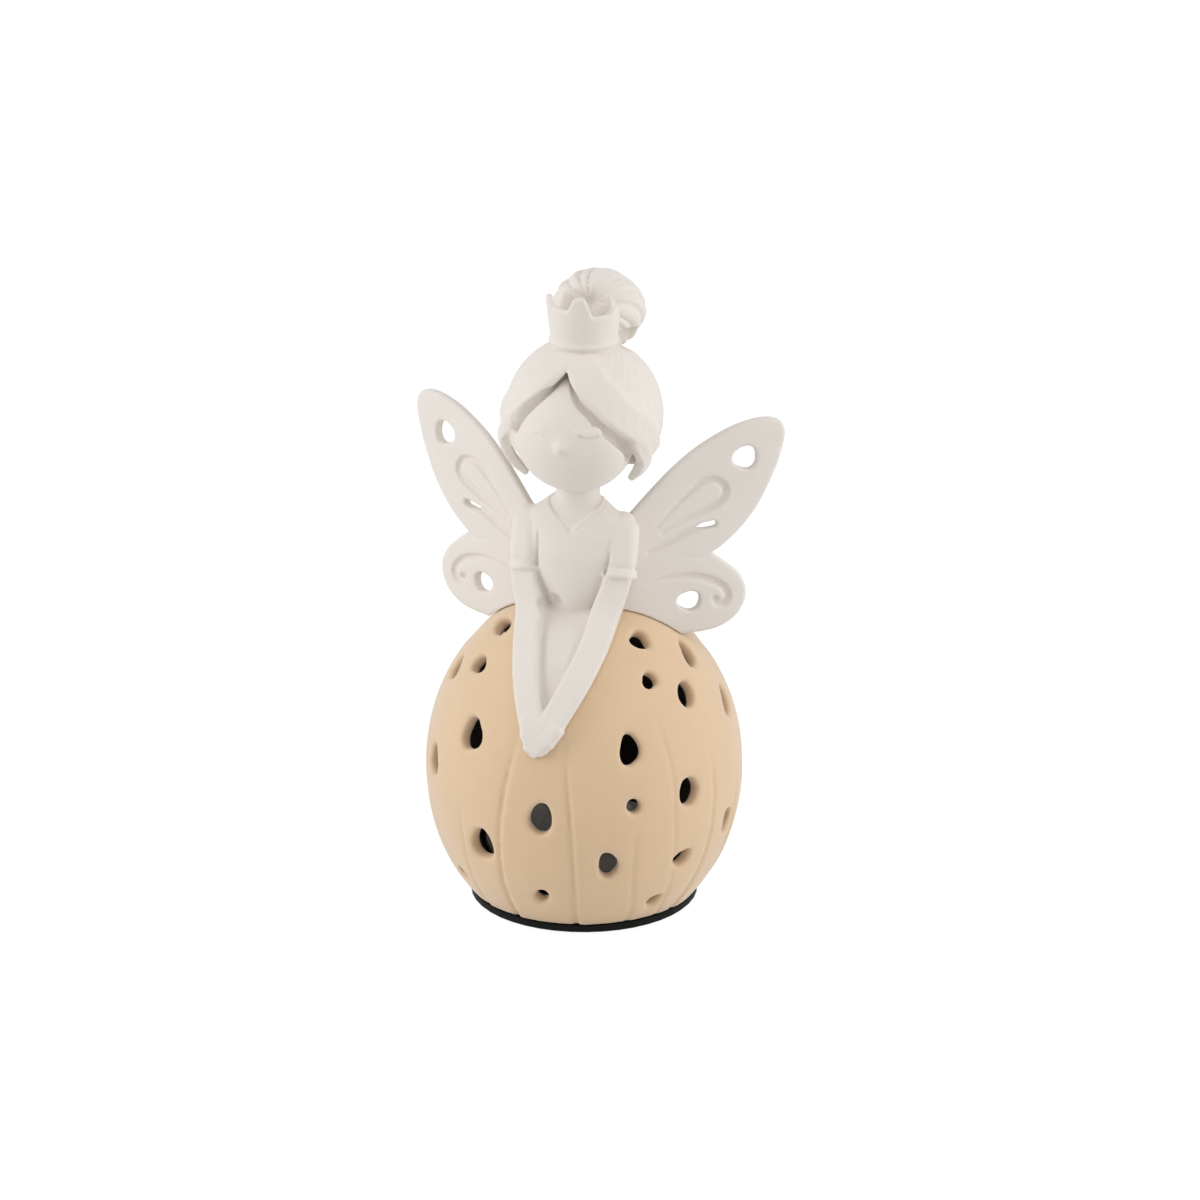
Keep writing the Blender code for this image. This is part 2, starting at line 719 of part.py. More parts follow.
def eye_cutter(side):
    """Groove of one closed eye: a shallow arc that sags in the middle."""
    path, outwards = [], []
    for i in range(6):
        share = i / 5 * 2 - 1
        x = side * eye_spacing / 2 + share * eye_width / 2
        height = eye_rise + 0.0016 * share ** 2
        inside = 1 - (x / face_half_width) ** 2 - (height / face_half_height) ** 2
        point = face_centre + Vector((x, -face_half_depth * math.sqrt(inside), height))
        path.append(point)
        outwards.append((point - face_centre).normalized())
    return sweep(path, [(0.0004, 0.0006)] * 6, outwards, 6)


def nose_form():
    """Small pointed nose, below the eyes."""
    root = face_centre + Vector((0, -face_half_depth + 0.0020, -nose_drop))
    rings = []
    for share, size in ((0, 0.0034), (0.5, 0.0026), (1, 0.0013), (1.14, 0.0006)):
        ahead = nose_length * share
        middle = root + Vector((0, -ahead, -ahead * 0.28))
        ring = []
        for k in range(8):
            angle = 2 * math.pi * k / 8
            ring.append(middle + Vector((math.cos(angle), 0, math.sin(angle) * 0.9)) * size)
        rings.append(ring)
    return loft(rings)


def make_figure(material):
    """The fairy as one casting, its underside shaped to the dome and pegged into it."""
    figure = make_object("fairy_figure", torso_form(), material)
    neck_foot = neck_height - 0.004
    neck_top = neck_height + neck_length
    fuse(figure, disc(neck_radius, neck_foot, neck_top, (0, neck_back - torso_forward), 20), True)
    fuse(figure, lap_form(), True)
    for form in (arm_form, sleeve_form, wing_form):
        fuse(figure, form(), True)
        fuse(figure, mirrored(form()), True)
    fuse(figure, hand_form(), True)
    under = dome_profile(dome_radius + gap, dome_half_height + gap, dome_centre_height)
    cut(figure, turned(under + [(0, dome_centre_height)]), True)

    head = make_object("head_form", ellipsoid(hair_centre, (hair_radius,) * 3))
    under = block((-0.1, -0.1, -0.1), (0.1, 0.1, 0))
    slope = Matrix.Rotation(math.radians(-nape_slope), 4, "X")
    nape = Matrix.Translation(hair_centre - Vector((0, 0, nape_drop)))
    bmesh.ops.transform(under, matrix=nape @ slope, verts=under.verts)
    cut(head, under)
    cut(head, face_opening())
    face_axes = (face_half_width, face_half_depth, face_half_height)
    fuse(head, ellipsoid(face_centre, face_axes, 24, 14))
    fuse(head, nose_form())
    for side in (-1, 1):
        cut(head, eye_cutter(side))
    fuse(head, lock_form(1, fringe_right, lock_end_right), True)
    fuse(head, lock_form(-1, fringe_left, lock_end_left), True)
    fuse(head, crown_form(), True)
    fuse(head, bun_form(), True)
    bm = bmesh.new()
    bm.from_mesh(head.data)
    bpy.data.objects.remove(head)
    fuse(figure, bm, True)
    peg_top = dome_top + 0.003
    fuse(figure, disc(peg_radius, dome_top - peg_length, peg_top, (0, -peg_forward)))
    return figure


# Heights of the base, from the floor up.
door_top = door_recess + door_thickness
battery_height = door_top + gap + battery_diameter / 2
bay_top = battery_height + battery_diameter / 2 + gap
core_top = bay_top + bay_roof
wall_top = core_top + wire_space
deck_bottom = wall_top + gap
deck_top = deck_bottom + deck_thickness
board_bottom = deck_top + gap
board_top = board_bottom + board_thickness
bay_half_length = battery_length / 2 + contact_space
battery_pitch = battery_diameter + gap
bay_half_width = battery_pitch * battery_count / 2 + gap
pocket_start = bay_half_width + spigot_wall
pocket_radius = spigot_radius - spigot_wall
boss_radius = screw_radius + boss_wall
cover_screws = [(50, 0.0265), (130, 0.0265), (270, 0.0272)]
door_screw_place = (0, -bay_half_width - door_overlap - screw_head_radius - 0.0004)


def screw_places():
    places = []
    for turn, reach in cover_screws:
        angle = math.radians(turn)
        places.append((reach * math.cos(angle), reach * math.sin(angle)))
    return places


def pocket(side):
    """Space beside the battery bay, a segment of the spigot's inside, without the screw bosses."""
    half_turn = math.acos(pocket_start / pocket_radius)
    ring = []
    for i in range(9):
        angle = math.pi / 2 - half_turn + 2 * half_turn * i / 8
        ring.append((pocket_radius * math.cos(angle), side * pocket_radius * math.sin(angle)))
    bm = loft([[(x, y, z) for x, y in ring] for z in (base_thickness, wall_top + 0.001)])
    space = make_object("pocket_form", bm)
    for x, y in screw_places():
        if y * side > 0:
            cut(space, disc(boss_radius, 0, core_top, (x, y), 10))
    if side < 0:
        cut(space, disc(boss_radius + 0.0006, 0, core_top, door_screw_place, 10))
    bm = bmesh.new()
    bm.from_mesh(space.data)
    bpy.data.objects.remove(space)
    return bm


def make_housing(material):
    """Black base: the visible disc, the spigot inside the dome, the battery bay and the switch floor."""
    c = base_chamfer
    profile = [
        (0, 0), (base_radius - c, 0), (base_radius, c), (base_radius, base_thickness - c),
        (base_radius - c, base_thickness), (spigot_radius, base_thickness), (spigot_radius, wall_top),
        (pocket_radius, wall_top), (pocket_radius, core_top), (0, core_top),
    ]
    housing = make_object("base_housing", turned(profile), material)
    below = -0.001
    bay_corner = (-bay_half_length, -bay_half_width, below)
    cut(housing, block(bay_corner, (bay_half_length, bay_half_width, bay_top)))
    reach_x = bay_half_length + door_overlap
    reach_y = bay_half_width + door_overlap
    half_tongue = door_tongue_width / 2
    tongue_end = door_screw_place[1] - screw_head_radius - 0.001
    recess_top = door_top + gap
    cut(housing, block((-reach_x - gap, -reach_y - gap, below), (reach_x + gap, reach_y + gap, recess_top)))
    cut(housing, block((-half_tongue - gap, tongue_end - gap, below), (half_tongue + gap, 0, recess_top)))
    cut(housing, pocket(1))
    cut(housing, pocket(-1))
    for x, y in screw_places():
        bottom = deck_top - screw_length - gap
        cut(housing, disc(screw_radius + gap, bottom, core_top + 0.001, (x, y), 10))
    cut(housing, disc(screw_radius + gap, below, door_top + screw_length, door_screw_place, 10))
    slot_length = knob_length + switch_travel + 2 * gap
    x0 = -knob_length / 2 - gap
    y0, y1 = -switch_forward - knob_width / 2 - gap, -switch_forward + knob_width / 2 + gap
    cut(housing, block((x0, y0, below), (x0 + slot_length, y1, base_thickness + 0.001)))
    low = (x0 - finger_dish, y0 - finger_dish, below)
    cut(housing, block(low, (x0 + slot_length + finger_dish, y1 + finger_dish, knob_recess)))
    for side, end in ((1, -1), (-1, 1)):
        place = (end * (bay_half_length - wire_feed), side * battery_pitch)
        cut(housing, disc(wire_diameter / 2 + gap, bay_top - 0.001, core_top + 0.001, place, 10))
    return housing


def make_door(material):
    """Battery door with its screw tongue, lying flush in the underside."""
    reach_x = bay_half_length + door_overlap
    reach_y = bay_half_width + door_overlap
    tongue_end = door_screw_place[1] - screw_head_radius - 0.001
    bm = block((-reach_x, -reach_y, door_recess), (reach_x, reach_y, door_top))
    door = make_object("battery_door", bm, material)
    half_tongue = door_tongue_width / 2
    fuse(door, block((-half_tongue, tongue_end, door_recess), (half_tongue, -reach_y + 0.002, door_top)))
    cut(door, disc(screw_radius + gap, -0.001, door_top + 0.001, door_screw_place, 10))
    cut(door, disc(screw_head_radius + gap, -0.001, door_recess + screw_head_height, door_screw_place))
    return door


def make_screw(name, place, seat, direction, material):
    """Pan-head screw with a cross slot. It points down for direction -1 and up for +1."""
    head = seat - direction * screw_head_height
    tip = seat + direction * (screw_length - gap * 2)
    soft = 0.0004
    profile = [
        (0, head), (screw_head_radius - soft, head), (screw_head_radius, head + direction * soft),
        (screw_head_radius, seat), (screw_radius, seat), (screw_radius, tip - direction * screw_radius),
        (0.0003, tip), (0, tip),
    ]
    screw = make_object(name, turned(profile, small_sides, place), material)
    x, y = place
    half, long = 0.0003, screw_head_radius * 0.6
    low, high = sorted((head - direction * 0.001, head + direction * 0.0006))
    cut(screw, block((x - half, y - long, low), (x + half, y + long, high)))
    cut(screw, block((x - long, y - half, low), (x + long, y + half, high)))
    return screw


def make_battery(index, material):
    """One cell with its contact button, turned end for end from its neighbour."""
    towards = 1 if index % 2 == 0 else -1
    y = (1 - index) * battery_pitch
    radius = battery_diameter / 2
    half = battery_length / 2
    stations = [
        (-half, radius - 0.0004), (-half + 0.0004, radius), (half - button_height - 0.0004, radius),
        (half - button_height, radius - 0.0004), (half - button_height, button_radius), (half, button_radius),
    ]
    rings = []
    for along, size in stations:
        ring = []
        for k in range(14):
            angle = towards * 2 * math.pi * k / 14
            x, across, up = towards * along, size * math.cos(angle), size * math.sin(angle)
            ring.append((x, y + across, battery_height + up))
        rings.append(ring)
    return make_object(f"battery_{index + 1}", loft(rings), material)


def make_contact(name, end, first, last, spring_at, material):
    """Contact plate at one end of the bay, with a wire spring where a cell's flat end presses."""
    outer = end * (bay_half_length - gap)
    inner = outer - end * contact_thickness
    low_x, high_x = sorted((outer, inner))
    ys = [(1 - index) * battery_pitch for index in (first, last)]
    half = contact_width / 2
    bottom, top = battery_height - half, bay_top - gap
    bm = block((low_x, min(ys) - half, bottom), (high_x, max(ys) + half, top))
    contact = make_object(name, bm, material)
    for index in range(first, last + 1):
        y = (1 - index) * battery_pitch
        if index != spring_at:
            tip = end * (battery_length / 2 + gap)
            low, high = sorted((tip, inner + end * contact_thickness / 2))
            half_pad = 0.0010
            corner = (low, y - half_pad, battery_height - half_pad)
            fuse(contact, block(corner, (high, y + half_pad, battery_height + half_pad)))
            continue
        start = inner + end * spring_wire * 0.1
        reach = end * (battery_length / 2 + gap + spring_wire / 2) - start
        path = []
        steps = spring_turns * 8
        for i in range(steps + 1):
            angle = 2 * math.pi * i / 8
            radius = spring_radius * (1 - 0.45 * i / steps)
            ring_y, ring_z = radius * math.cos(angle), radius * math.sin(angle)
            path.append(Vector((start + reach * i / steps, y + ring_y, battery_height + ring_z)))
        sizes = [(spring_wire / 2, spring_wire / 2)] * len(path)
        fuse(contact, sweep(path, sizes, [Vector((1, 0, 0))] * len(path), 4))
    return contact


def make_switch(case_material, slider_material):
    """Slide switch over its slot, and the slider whose knob shows in the underside."""
    y = -switch_forward
    floor = base_thickness + gap
    block_half = slider_block_length / 2
    low_x = -block_half - gap - switch_wall
    high_x = block_half + switch_travel + gap + switch_wall
    half = switch_width / 2
    case = block((low_x, y - half, floor), (high_x, y + half, floor + switch_height))
    body = make_object("switch_body", case, case_material)
    roof = floor + slider_block_height + gap
    inner = half - switch_wall
    low, high = (low_x + switch_wall, y - inner, floor - 0.001), (high_x - switch_wall, y + inner, roof)
    cut(body, block(low, high))
    shuttle = block((-block_half, y - inner + gap, floor), (block_half, y + inner - gap, roof - gap))
    slider = make_object("switch_slider", shuttle, slider_material)
    half_knob = knob_width / 2
    knob_low = (-knob_length / 2, y - half_knob, knob_recess)
    fuse(slider, block(knob_low, (knob_length / 2, y + half_knob, floor + 0.0004)))
    slider.data.transform(Matrix.Translation((0, -y, -floor)))
    slider.location = (0, y, floor)


def make_deck(material):
    """Cover over the wiring, with the ring that holds the board and the diffuser."""
    outer_ring = ring_radius
    inner_ring = ring_radius - ring_wall
    profile = [
        (0, deck_bottom), (spigot_radius, deck_bottom), (spigot_radius, deck_top), (outer_ring, deck_top),
        (outer_ring, deck_top + ring_height), (inner_ring, deck_top + ring_height), (inner_ring, deck_top),
        (0, deck_top),
    ]
    deck = make_object("light_deck", turned(profile), material)
    for place in screw_places():
        cut(deck, disc(screw_radius + gap, deck_bottom - 0.001, deck_top + 0.001, place, 10))
    cut(deck, disc(wire_hole_radius, deck_bottom - 0.001, deck_top + 0.001, (0, wire_hole_back)))
    return deck


def make_diffuser(material):
    """Frosted cap over the lamps, seated round the deck's ring."""
    inner = ring_radius + gap
    outer = inner + diffuser_wall
    foot = deck_top + gap
    shoulder = foot + ring_height + gap
    profile = []
    for radius, height in ((outer, diffuser_height), (inner, diffuser_height - diffuser_wall)):
        arc = []
        for i in range(6):
            angle = math.pi / 2 * i / 6
            rise = (height - ring_height) * math.sin(angle)
            arc.append((radius * math.cos(angle), shoulder + rise))
        arc.append((0, shoulder + height - ring_height))
        line = [(radius, foot)] + arc
        profile += line if not profile else list(reversed(line))
    profile = profile[:-1] + [(inner, foot)]
    half = len(profile) // 2
    ordered = list(reversed(profile[:half])) + list(reversed(profile[half:]))
    return make_object("light_diffuser", turned(ordered, 24), material)


def make_wire(name, points, material):
    """Insulated wire through the points of its route."""
    path = curve_through(points, 2)
    curve = bpy.data.curves.new(name, "CURVE")
    curve.dimensions = "3D"
    curve.bevel_depth = wire_diameter / 2
    curve.bevel_resolution = 1
    curve.use_fill_caps = True
    spline = curve.splines.new("POLY")
    spline.points.add(len(path) - 1)
    for place, point in zip(spline.points, path):
        place.co = (*point, 1)
    wire = bpy.data.objects.new(name, curve)
    bpy.context.scene.collection.objects.link(wire)
    curve.materials.append(material)
    return wire


def main():
    for obj in list(bpy.data.objects):
        bpy.data.objects.remove(obj)
    bone = make_material("bone_matte", "E4DDD6", 0.75)
    tan = make_material("tan_matte", "DFC3A2", 0.78)
    black = make_material("black_plastic", "2A2426", 0.5)
    white = make_material("frosted_plastic", "F2F0EA", 0.5)
    green = make_material("board_green", "2F5D44", 0.5)
    steel = make_material("plated_steel", "B9BABB", 0.35, 1.0)
    amber = make_material("lamp_amber", "E9C75C", 0.3)
    cell = make_material("battery_wrap", "3C4048", 0.35)
    red = make_material("red_wire", "A8322B", 0.5)
    dark = make_material("black_wire", "1E1E20", 0.5)

    make_dome(tan)
    make_figure(bone)
    make_housing(black)
    make_door(black)
    make_screw("door_screw", door_screw_place, door_recess + screw_head_height - gap, 1, steel)
    for number, place in enumerate(screw_places(), 1):
        make_screw(f"deck_screw_{number}", place, deck_top + gap, -1, steel)
    for index in range(battery_count):
        make_battery(index, cell)
    make_contact("contact_minus", -1, 0, 0, 0, steel)
    make_contact("contact_bridge_a", 1, 0, 1, 1, steel)
    make_contact("contact_bridge_b", -1, 1, 2, 2, steel)
    make_contact("contact_plus", 1, 2, 2, -1, steel)
    make_switch(black, white)
    make_deck(white)
    make_object("circuit_board", disc(board_radius, board_bottom, board_top, (0, 0), 32), green)
    for number in range(led_count):
        angle = math.radians(90 + 360 / led_count * number)
        x, y = led_circle * math.cos(angle), led_circle * math.sin(angle)
        half = led_size / 2
        bottom = board_top + gap
        lamp = block((x - half, y - half, bottom), (x + half, y + half, bottom + led_height))
        make_object(f"led_{number + 1}", lamp, amber)
    make_diffuser(white)

    run = core_top + wire_space / 2
    feed = bay_half_length - wire_feed
    low = bay_top - 0.0008
    board_end = board_bottom - gap
    minus = [(-feed, battery_pitch, low), (-feed, battery_pitch, core_top)]
    minus += [(-feed + 0.003, battery_pitch + 0.0006, run), (-0.010, wire_hole_back + 0.001, run)]
    minus += [(-0.0022, wire_hole_back, run + 0.0004), (-wire_diameter, wire_hole_back, board_end)]
    make_wire("wire_minus", minus, dark)
    top = base_thickness + gap + switch_height + gap + wire_diameter / 2
    plus = [(feed, -battery_pitch, low), (feed, -battery_pitch, core_top)]
    plus += [(feed - 0.003, -battery_pitch + 0.001, run), (0.016, 0.0, run), (0.011, 0.012, run)]
    plus += [(0.006, 0.0185, run), (0.0035, 0.0225, core_top - 0.002)]
    plus += [(0.0030, -switch_forward, top)]
    make_wire("wire_plus", plus, red)
    lead = [(-0.0008, -switch_forward, top), (-0.0012, 0.0222, core_top - 0.002), (0.0, 0.0175, run)]
    lead += [(wire_diameter, wire_hole_back + 0.003, run), (wire_diameter, wire_hole_back, run + 0.0006)]
    lead += [(wire_diameter, wire_hole_back, board_end)]
    make_wire("wire_switched", lead, red)


main()
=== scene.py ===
"""Fairy night light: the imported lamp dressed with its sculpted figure, pierced dome and finishes."""

import itertools
import math

import bmesh
import bpy
import numpy as np
from bpy.props import FloatProperty, FloatVectorProperty, PointerProperty
from mathutils import Matrix, Vector


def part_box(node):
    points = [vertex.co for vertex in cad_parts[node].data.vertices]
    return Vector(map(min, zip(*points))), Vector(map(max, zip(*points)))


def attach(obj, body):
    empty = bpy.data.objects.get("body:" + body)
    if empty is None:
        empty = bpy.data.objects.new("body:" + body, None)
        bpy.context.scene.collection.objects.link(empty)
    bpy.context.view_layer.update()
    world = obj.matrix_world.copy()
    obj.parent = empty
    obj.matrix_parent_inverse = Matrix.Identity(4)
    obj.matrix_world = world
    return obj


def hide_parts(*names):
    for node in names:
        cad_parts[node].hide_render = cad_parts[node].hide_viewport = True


bl_info = {
    "name": "Fairy Night Light",
    "version": (1, 0, 0),
    "blender": (4, 5, 0),
    "location": "View3D > Sidebar > Night Light",
    "description": "Builds the fairy figure, the pierced dome and the finishes of a battery night light",
    "category": "Object",
}

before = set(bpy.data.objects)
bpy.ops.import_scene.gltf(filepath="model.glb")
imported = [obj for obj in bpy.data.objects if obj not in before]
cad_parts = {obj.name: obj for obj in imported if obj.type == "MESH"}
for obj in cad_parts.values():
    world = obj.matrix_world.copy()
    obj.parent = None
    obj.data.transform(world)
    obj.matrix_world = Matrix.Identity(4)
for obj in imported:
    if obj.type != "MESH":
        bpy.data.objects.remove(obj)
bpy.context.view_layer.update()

MM = 0.001
# Sizes and places are in millimetres, angles in degrees.
DOME_RADIUS = 51.06
DOME_HALF_HEIGHT = 59.0
DOME_CENTRE = 43.96
DOME_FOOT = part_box("lantern_dome")[0].z / MM
DOME_MOUTH = 32.0
DOME_CEILING = 20
WAIST = 101.5
TORSO_Y = -11.5
HAIR_CENTRE = np.array((0.0, 0.4, 161.6))
HAIR_RADIUS = 24.9
FACE_CENTRE = np.array((0, -11.1, 159.1))
FACE_AXES = (19.4, 15.0, 19.0)
BUN_CENTRE = (0.0, 18.8, 190.5)
BUN_AXES = (15.0, 14.0, 13.0)
BUN_TILT = -25
CROWN_FOOT = 22.8
CROWN_RADIUS = 9.1
WING_ROOT = (0, TORSO_Y, 125.0)
WING_SWEEP = 26.5
WING_LEAN = 3.1
WING_HALF = 1.5
# Camera: where it looks, its sensor, and its lens in pixels of a picture that many across.
LOOK_AT = (4.94, 1.305, 99.26)
SENSOR_WIDTH = 36.0
LENS_PIXELS = 5348
PHOTO_PIXELS = 1200
# Floor, in metres.
FLOOR_RADIUS = 4
FLOOR_HEIGHT = -0.0004
FLOOR_SIDES = 48

# Dome holes: longitude from the front, latitude, width and height in millimetres, lean in degrees.
FRONT_HOLES = [
    (-59, 58, 10.3, 6.2, -20), (-49, 43, 6.9, 6.8, 25), (-68, 36, 6.5, 9.0, 20), (-34, 22, 8.8, 12.0, 8),
    (-57, 7, 7.5, 10.5, 0), (-26, -13, 9.5, 12.0, -20), (-1, 0, 8.5, 11.5, 0), (-3, -30, 6.5, 4.8, 80),
    (24, -16, 6.7, 11.1, 12), (33, 4, 5.0, 5.3, 0), (33, 22, 7.2, 11.5, 0), (56, 5, 8.2, 10.2, 10),
    (55, -18, 7.6, 6.0, 50), (47, -35, 6.6, 4.4, 60), (49, 43, 5.3, 6.1, -10), (66, 35, 7.0, 9.3, -15),
    (56, 58, 7.2, 7.2, -40), (84, 46, 6.0, 10.5, -30), (94, 25, 6.5, 11.5, -20), (-48, -31, 5.0, 4.6, 0),
]
BACK_HOLES = [
    (82, -12, 7.0, 9.5, 15), (106, 3, 8.0, 11.0, -10), (103, -24, 6.0, 7.5, 30), (118, 40, 7.5, 8.5, 20),
    (130, 16, 6.5, 10.5, 5), (129, -14, 9.0, 11.5, -15), (152, -2, 7.5, 10.0, 10), (150, -30, 6.5, 5.0, 60),
    (158, 27, 8.5, 12.0, -8), (161, -17, 8.5, 11.0, 15), (182, 11, 5.2, 5.6, 0), (-152, 25, 6.8, 10.0, 12),
    (-154, -5, 8.6, 11.5, -12), (-157, -31, 6.0, 5.0, -50), (-128, 5, 6.0, 7.0, 0),
    (-126, -20, 9.0, 11.0, 18), (-121, 34, 7.0, 9.5, -15), (-103, -8, 8.0, 11.5, 8),
    (-100, 18, 5.5, 6.5, 0), (-79, -19, 7.0, 9.0, -10), (-92, 45, 7.0, 8.0, 25), (170, 48, 6.5, 7.0, 0),
]
# Skirt folds: longitude and latitude at the foot, the same at the top, and how strongly each is pressed.
FOLDS = [
    (-41, -42, -35, 0, 0.6), (-20, -42, -11, 27, 1.0), (11, -42, 7, 27, 0.9), (36, -34, 34, -3, 0.35),
    (49, -3, 45, 33, 0.3), (65, -40, 69, 17, 0.6), (92, -41, 88, 2, 0.7), (116, -42, 118, 22, 0.8),
    (141, -41, 142, 6, 0.6), (166, -42, 168, 6, 0.7), (-168, -42, -166, 33, 0.9),
    (-143, -42, -141, 10, 0.7), (-115, -42, -113, 14, 0.8), (-90, -41, -92, 8, 0.6),
    (-64, -41, -67, 22, 0.8),
]
# Wing outline from the root's top, round the tip and the notch, to the root's foot, in millimetres.
WING_OUTLINE = [
    (5, -5), (12, 0.5), (18, 6.3), (24, 12.6), (30, 18.6), (37, 24.5), (44, 28.9), (51, 32.3), (58, 34.3),
    (63.5, 34.4), (67, 32.6), (68, 29), (67, 24), (65, 18), (62, 11.5), (58.5, 5.2), (54, -0.5), (49, -5.2),
    (44.2, -8.6), (48.6, -12), (52.6, -15.6), (54.8, -19.6), (55.1, -23.2), (53.9, -27), (51, -30.6),
    (46.5, -33.2), (41, -34.4), (35, -34.8), (20, -37), (5, -39),
]
WING_NOTCH = 18
TEARDROP_GROOVE = [
    (26.2, 1.4), (31, 6.6), (37, 12.2), (40.5, 14.9), (44.4, 15.5), (47.2, 14.2), (48.4, 11.8), (47.6, 9.4),
    (45, 7.4), (39, 4.6), (32, 1.6), (27.4, -0.8),
]
CURL_GROOVE = [
    (22.6, -17.6), (25.6, -16.6), (30, -15.9), (35.6, -15.6), (40.4, -16.3), (44.6, -17.8), (47.8, -20.2),
    (49, -22.8), (47.8, -24.9), (45.6, -25.2), (44.9, -23.8),
]
SLIT = [(23, -7), (25.6, -6), (32, -3), (39, 0), (44.6, 1)]
# Holes in a wing: place, half width and half height.
WING_HOLES = [(54.9, 22.0, 3.9, 3.75), (36.5, -23.8, 3.7, 3.1)]
# Edges of the fringe from the parting down: out and up from the hair's middle, in millimetres.
FRINGE_RIGHT = [
    (-0.6, 18.6), (0.8, 16.2), (2.6, 13.9), (4.9, 11.0), (8.4, 8.1), (12.4, 3.8), (16.5, -0.5),
    (18.9, -4.2), (20.2, -8.6),
]
FRINGE_LEFT = [
    (0.9, 18.7), (2.8, 16.6), (5.6, 13.8), (8.6, 11.0), (11.9, 7.8), (14.7, 4.4), (16.7, 0.9), (17.8, -1.0),
]
# Free ends of the locks: out, forward and up from the hair's middle, with half width and half thickness.
LOCK_END_RIGHT = [
    (21.7, -9.4, -9.6, 2.3, 1.9), (21.3, -9.0, -11.6, 2.1, 1.9), (19.9, -8.4, -14.3, 1.8, 1.7),
    (17.4, -7.8, -17.2, 1.1, 1.1),
]
LOCK_END_LEFT = [
    (23.0, -10.2, -4.6, 2.4, 1.7), (23.4, -9.6, -7.4, 2.5, 1.8), (22.3, -9.2, -11.0, 2.5, 1.7),
    (19.8, -8.6, -15.0, 2.1, 1.6), (16.9, -8.0, -18.1, 1.2, 1.1),
]
# Crown: heights of its prongs, and of the gaps after them, from the front to the right, in millimetres.
CROWN_PRONGS = [18.3, 13.8, 14.2, 14.8, 16.8]
CROWN_GAPS = [12.0, 9.8, 9.4, 10.4, 13.8]


def soft_join(first, second, soften):
    """Union of two distance fields with a fillet of about the given width."""
    if soften <= 0:
        return np.minimum(first, second)
    share = np.clip(0.5 + 0.5 * (second - first) / soften, 0, 1)
    return second + (first - second) * share - soften * share * (1 - share)


def soft_cut(first, second, soften):
    """The first field with the second taken away, its edge rounded."""
    return -soft_join(-first, second, soften)


def smooth_step(low, high, value):
    share = np.clip((value - low) / (high - low), 0, 1)
    return share * share * (3 - 2 * share)


class Clay:
    """Block of space whose grid points each hold their distance to the surface, in millimetres."""

    def __init__(self, low, high, step):
        self.low = np.array(low, np.float32)
        self.step = step
        counts = np.ceil((np.array(high) - self.low) / step).astype(int) + 1
        self.axes = [self.low[i] + step * np.arange(counts[i], dtype=np.float32) for i in range(3)]
        self.field = np.full(counts, 50, np.float32)

    def window(self, low, high, margin):
        """Slices of the grid round a box, and the grid lines inside it."""
        parts, lines = [], []
        for axis in range(3):
            start = int(np.searchsorted(self.axes[axis], low[axis] - margin))
            stop = int(np.searchsorted(self.axes[axis], high[axis] + margin))
            parts.append(slice(start, max(stop, start + 1)))
            shape = [1, 1, 1]
            shape[axis] = -1
            lines.append(self.axes[axis][parts[-1]].reshape(shape))
        return tuple(parts), lines

    def add(self, shape, low, high, soften=0.0):
        parts, (x, y, z) = self.window(low, high, soften + 3 * self.step)
        self.field[parts] = soft_join(self.field[parts], shape(x, y, z), soften)

    def carve(self, shape, low, high, soften=0.0):
        parts, (x, y, z) = self.window(low, high, soften + 3 * self.step)
        self.field[parts] = soft_cut(self.field[parts], shape(x, y, z), soften)

    def press(self, depth, low, high):
        """Pushes the surface in by a depth that varies from point to point."""
        parts, (x, y, z) = self.window(low, high, 0)
        self.field[parts] += depth(x, y, z)


def sample(field, places):
    """Field and its slope at places given in grid steps, between the grid's points."""
    base = np.clip(places.astype(np.int32), 0, np.array(field.shape) - 2)
    share = places - base
    value = np.zeros(len(places), np.float32)
    slope = np.zeros((len(places), 3), np.float32)
    for corner in itertools.product((0, 1), repeat=3):
        at = field[base[:, 0] + corner[0], base[:, 1] + corner[1], base[:, 2] + corner[2]]
        weights = [share[:, i] if corner[i] else 1 - share[:, i] for i in range(3)]
        signs = [1 if corner[i] else -1 for i in range(3)]
        value += at * weights[0] * weights[1] * weights[2]
        slope[:, 0] += at * signs[0] * weights[1] * weights[2]
        slope[:, 1] += at * signs[1] * weights[0] * weights[2]
        slope[:, 2] += at * signs[2] * weights[0] * weights[1]
    return value, slope


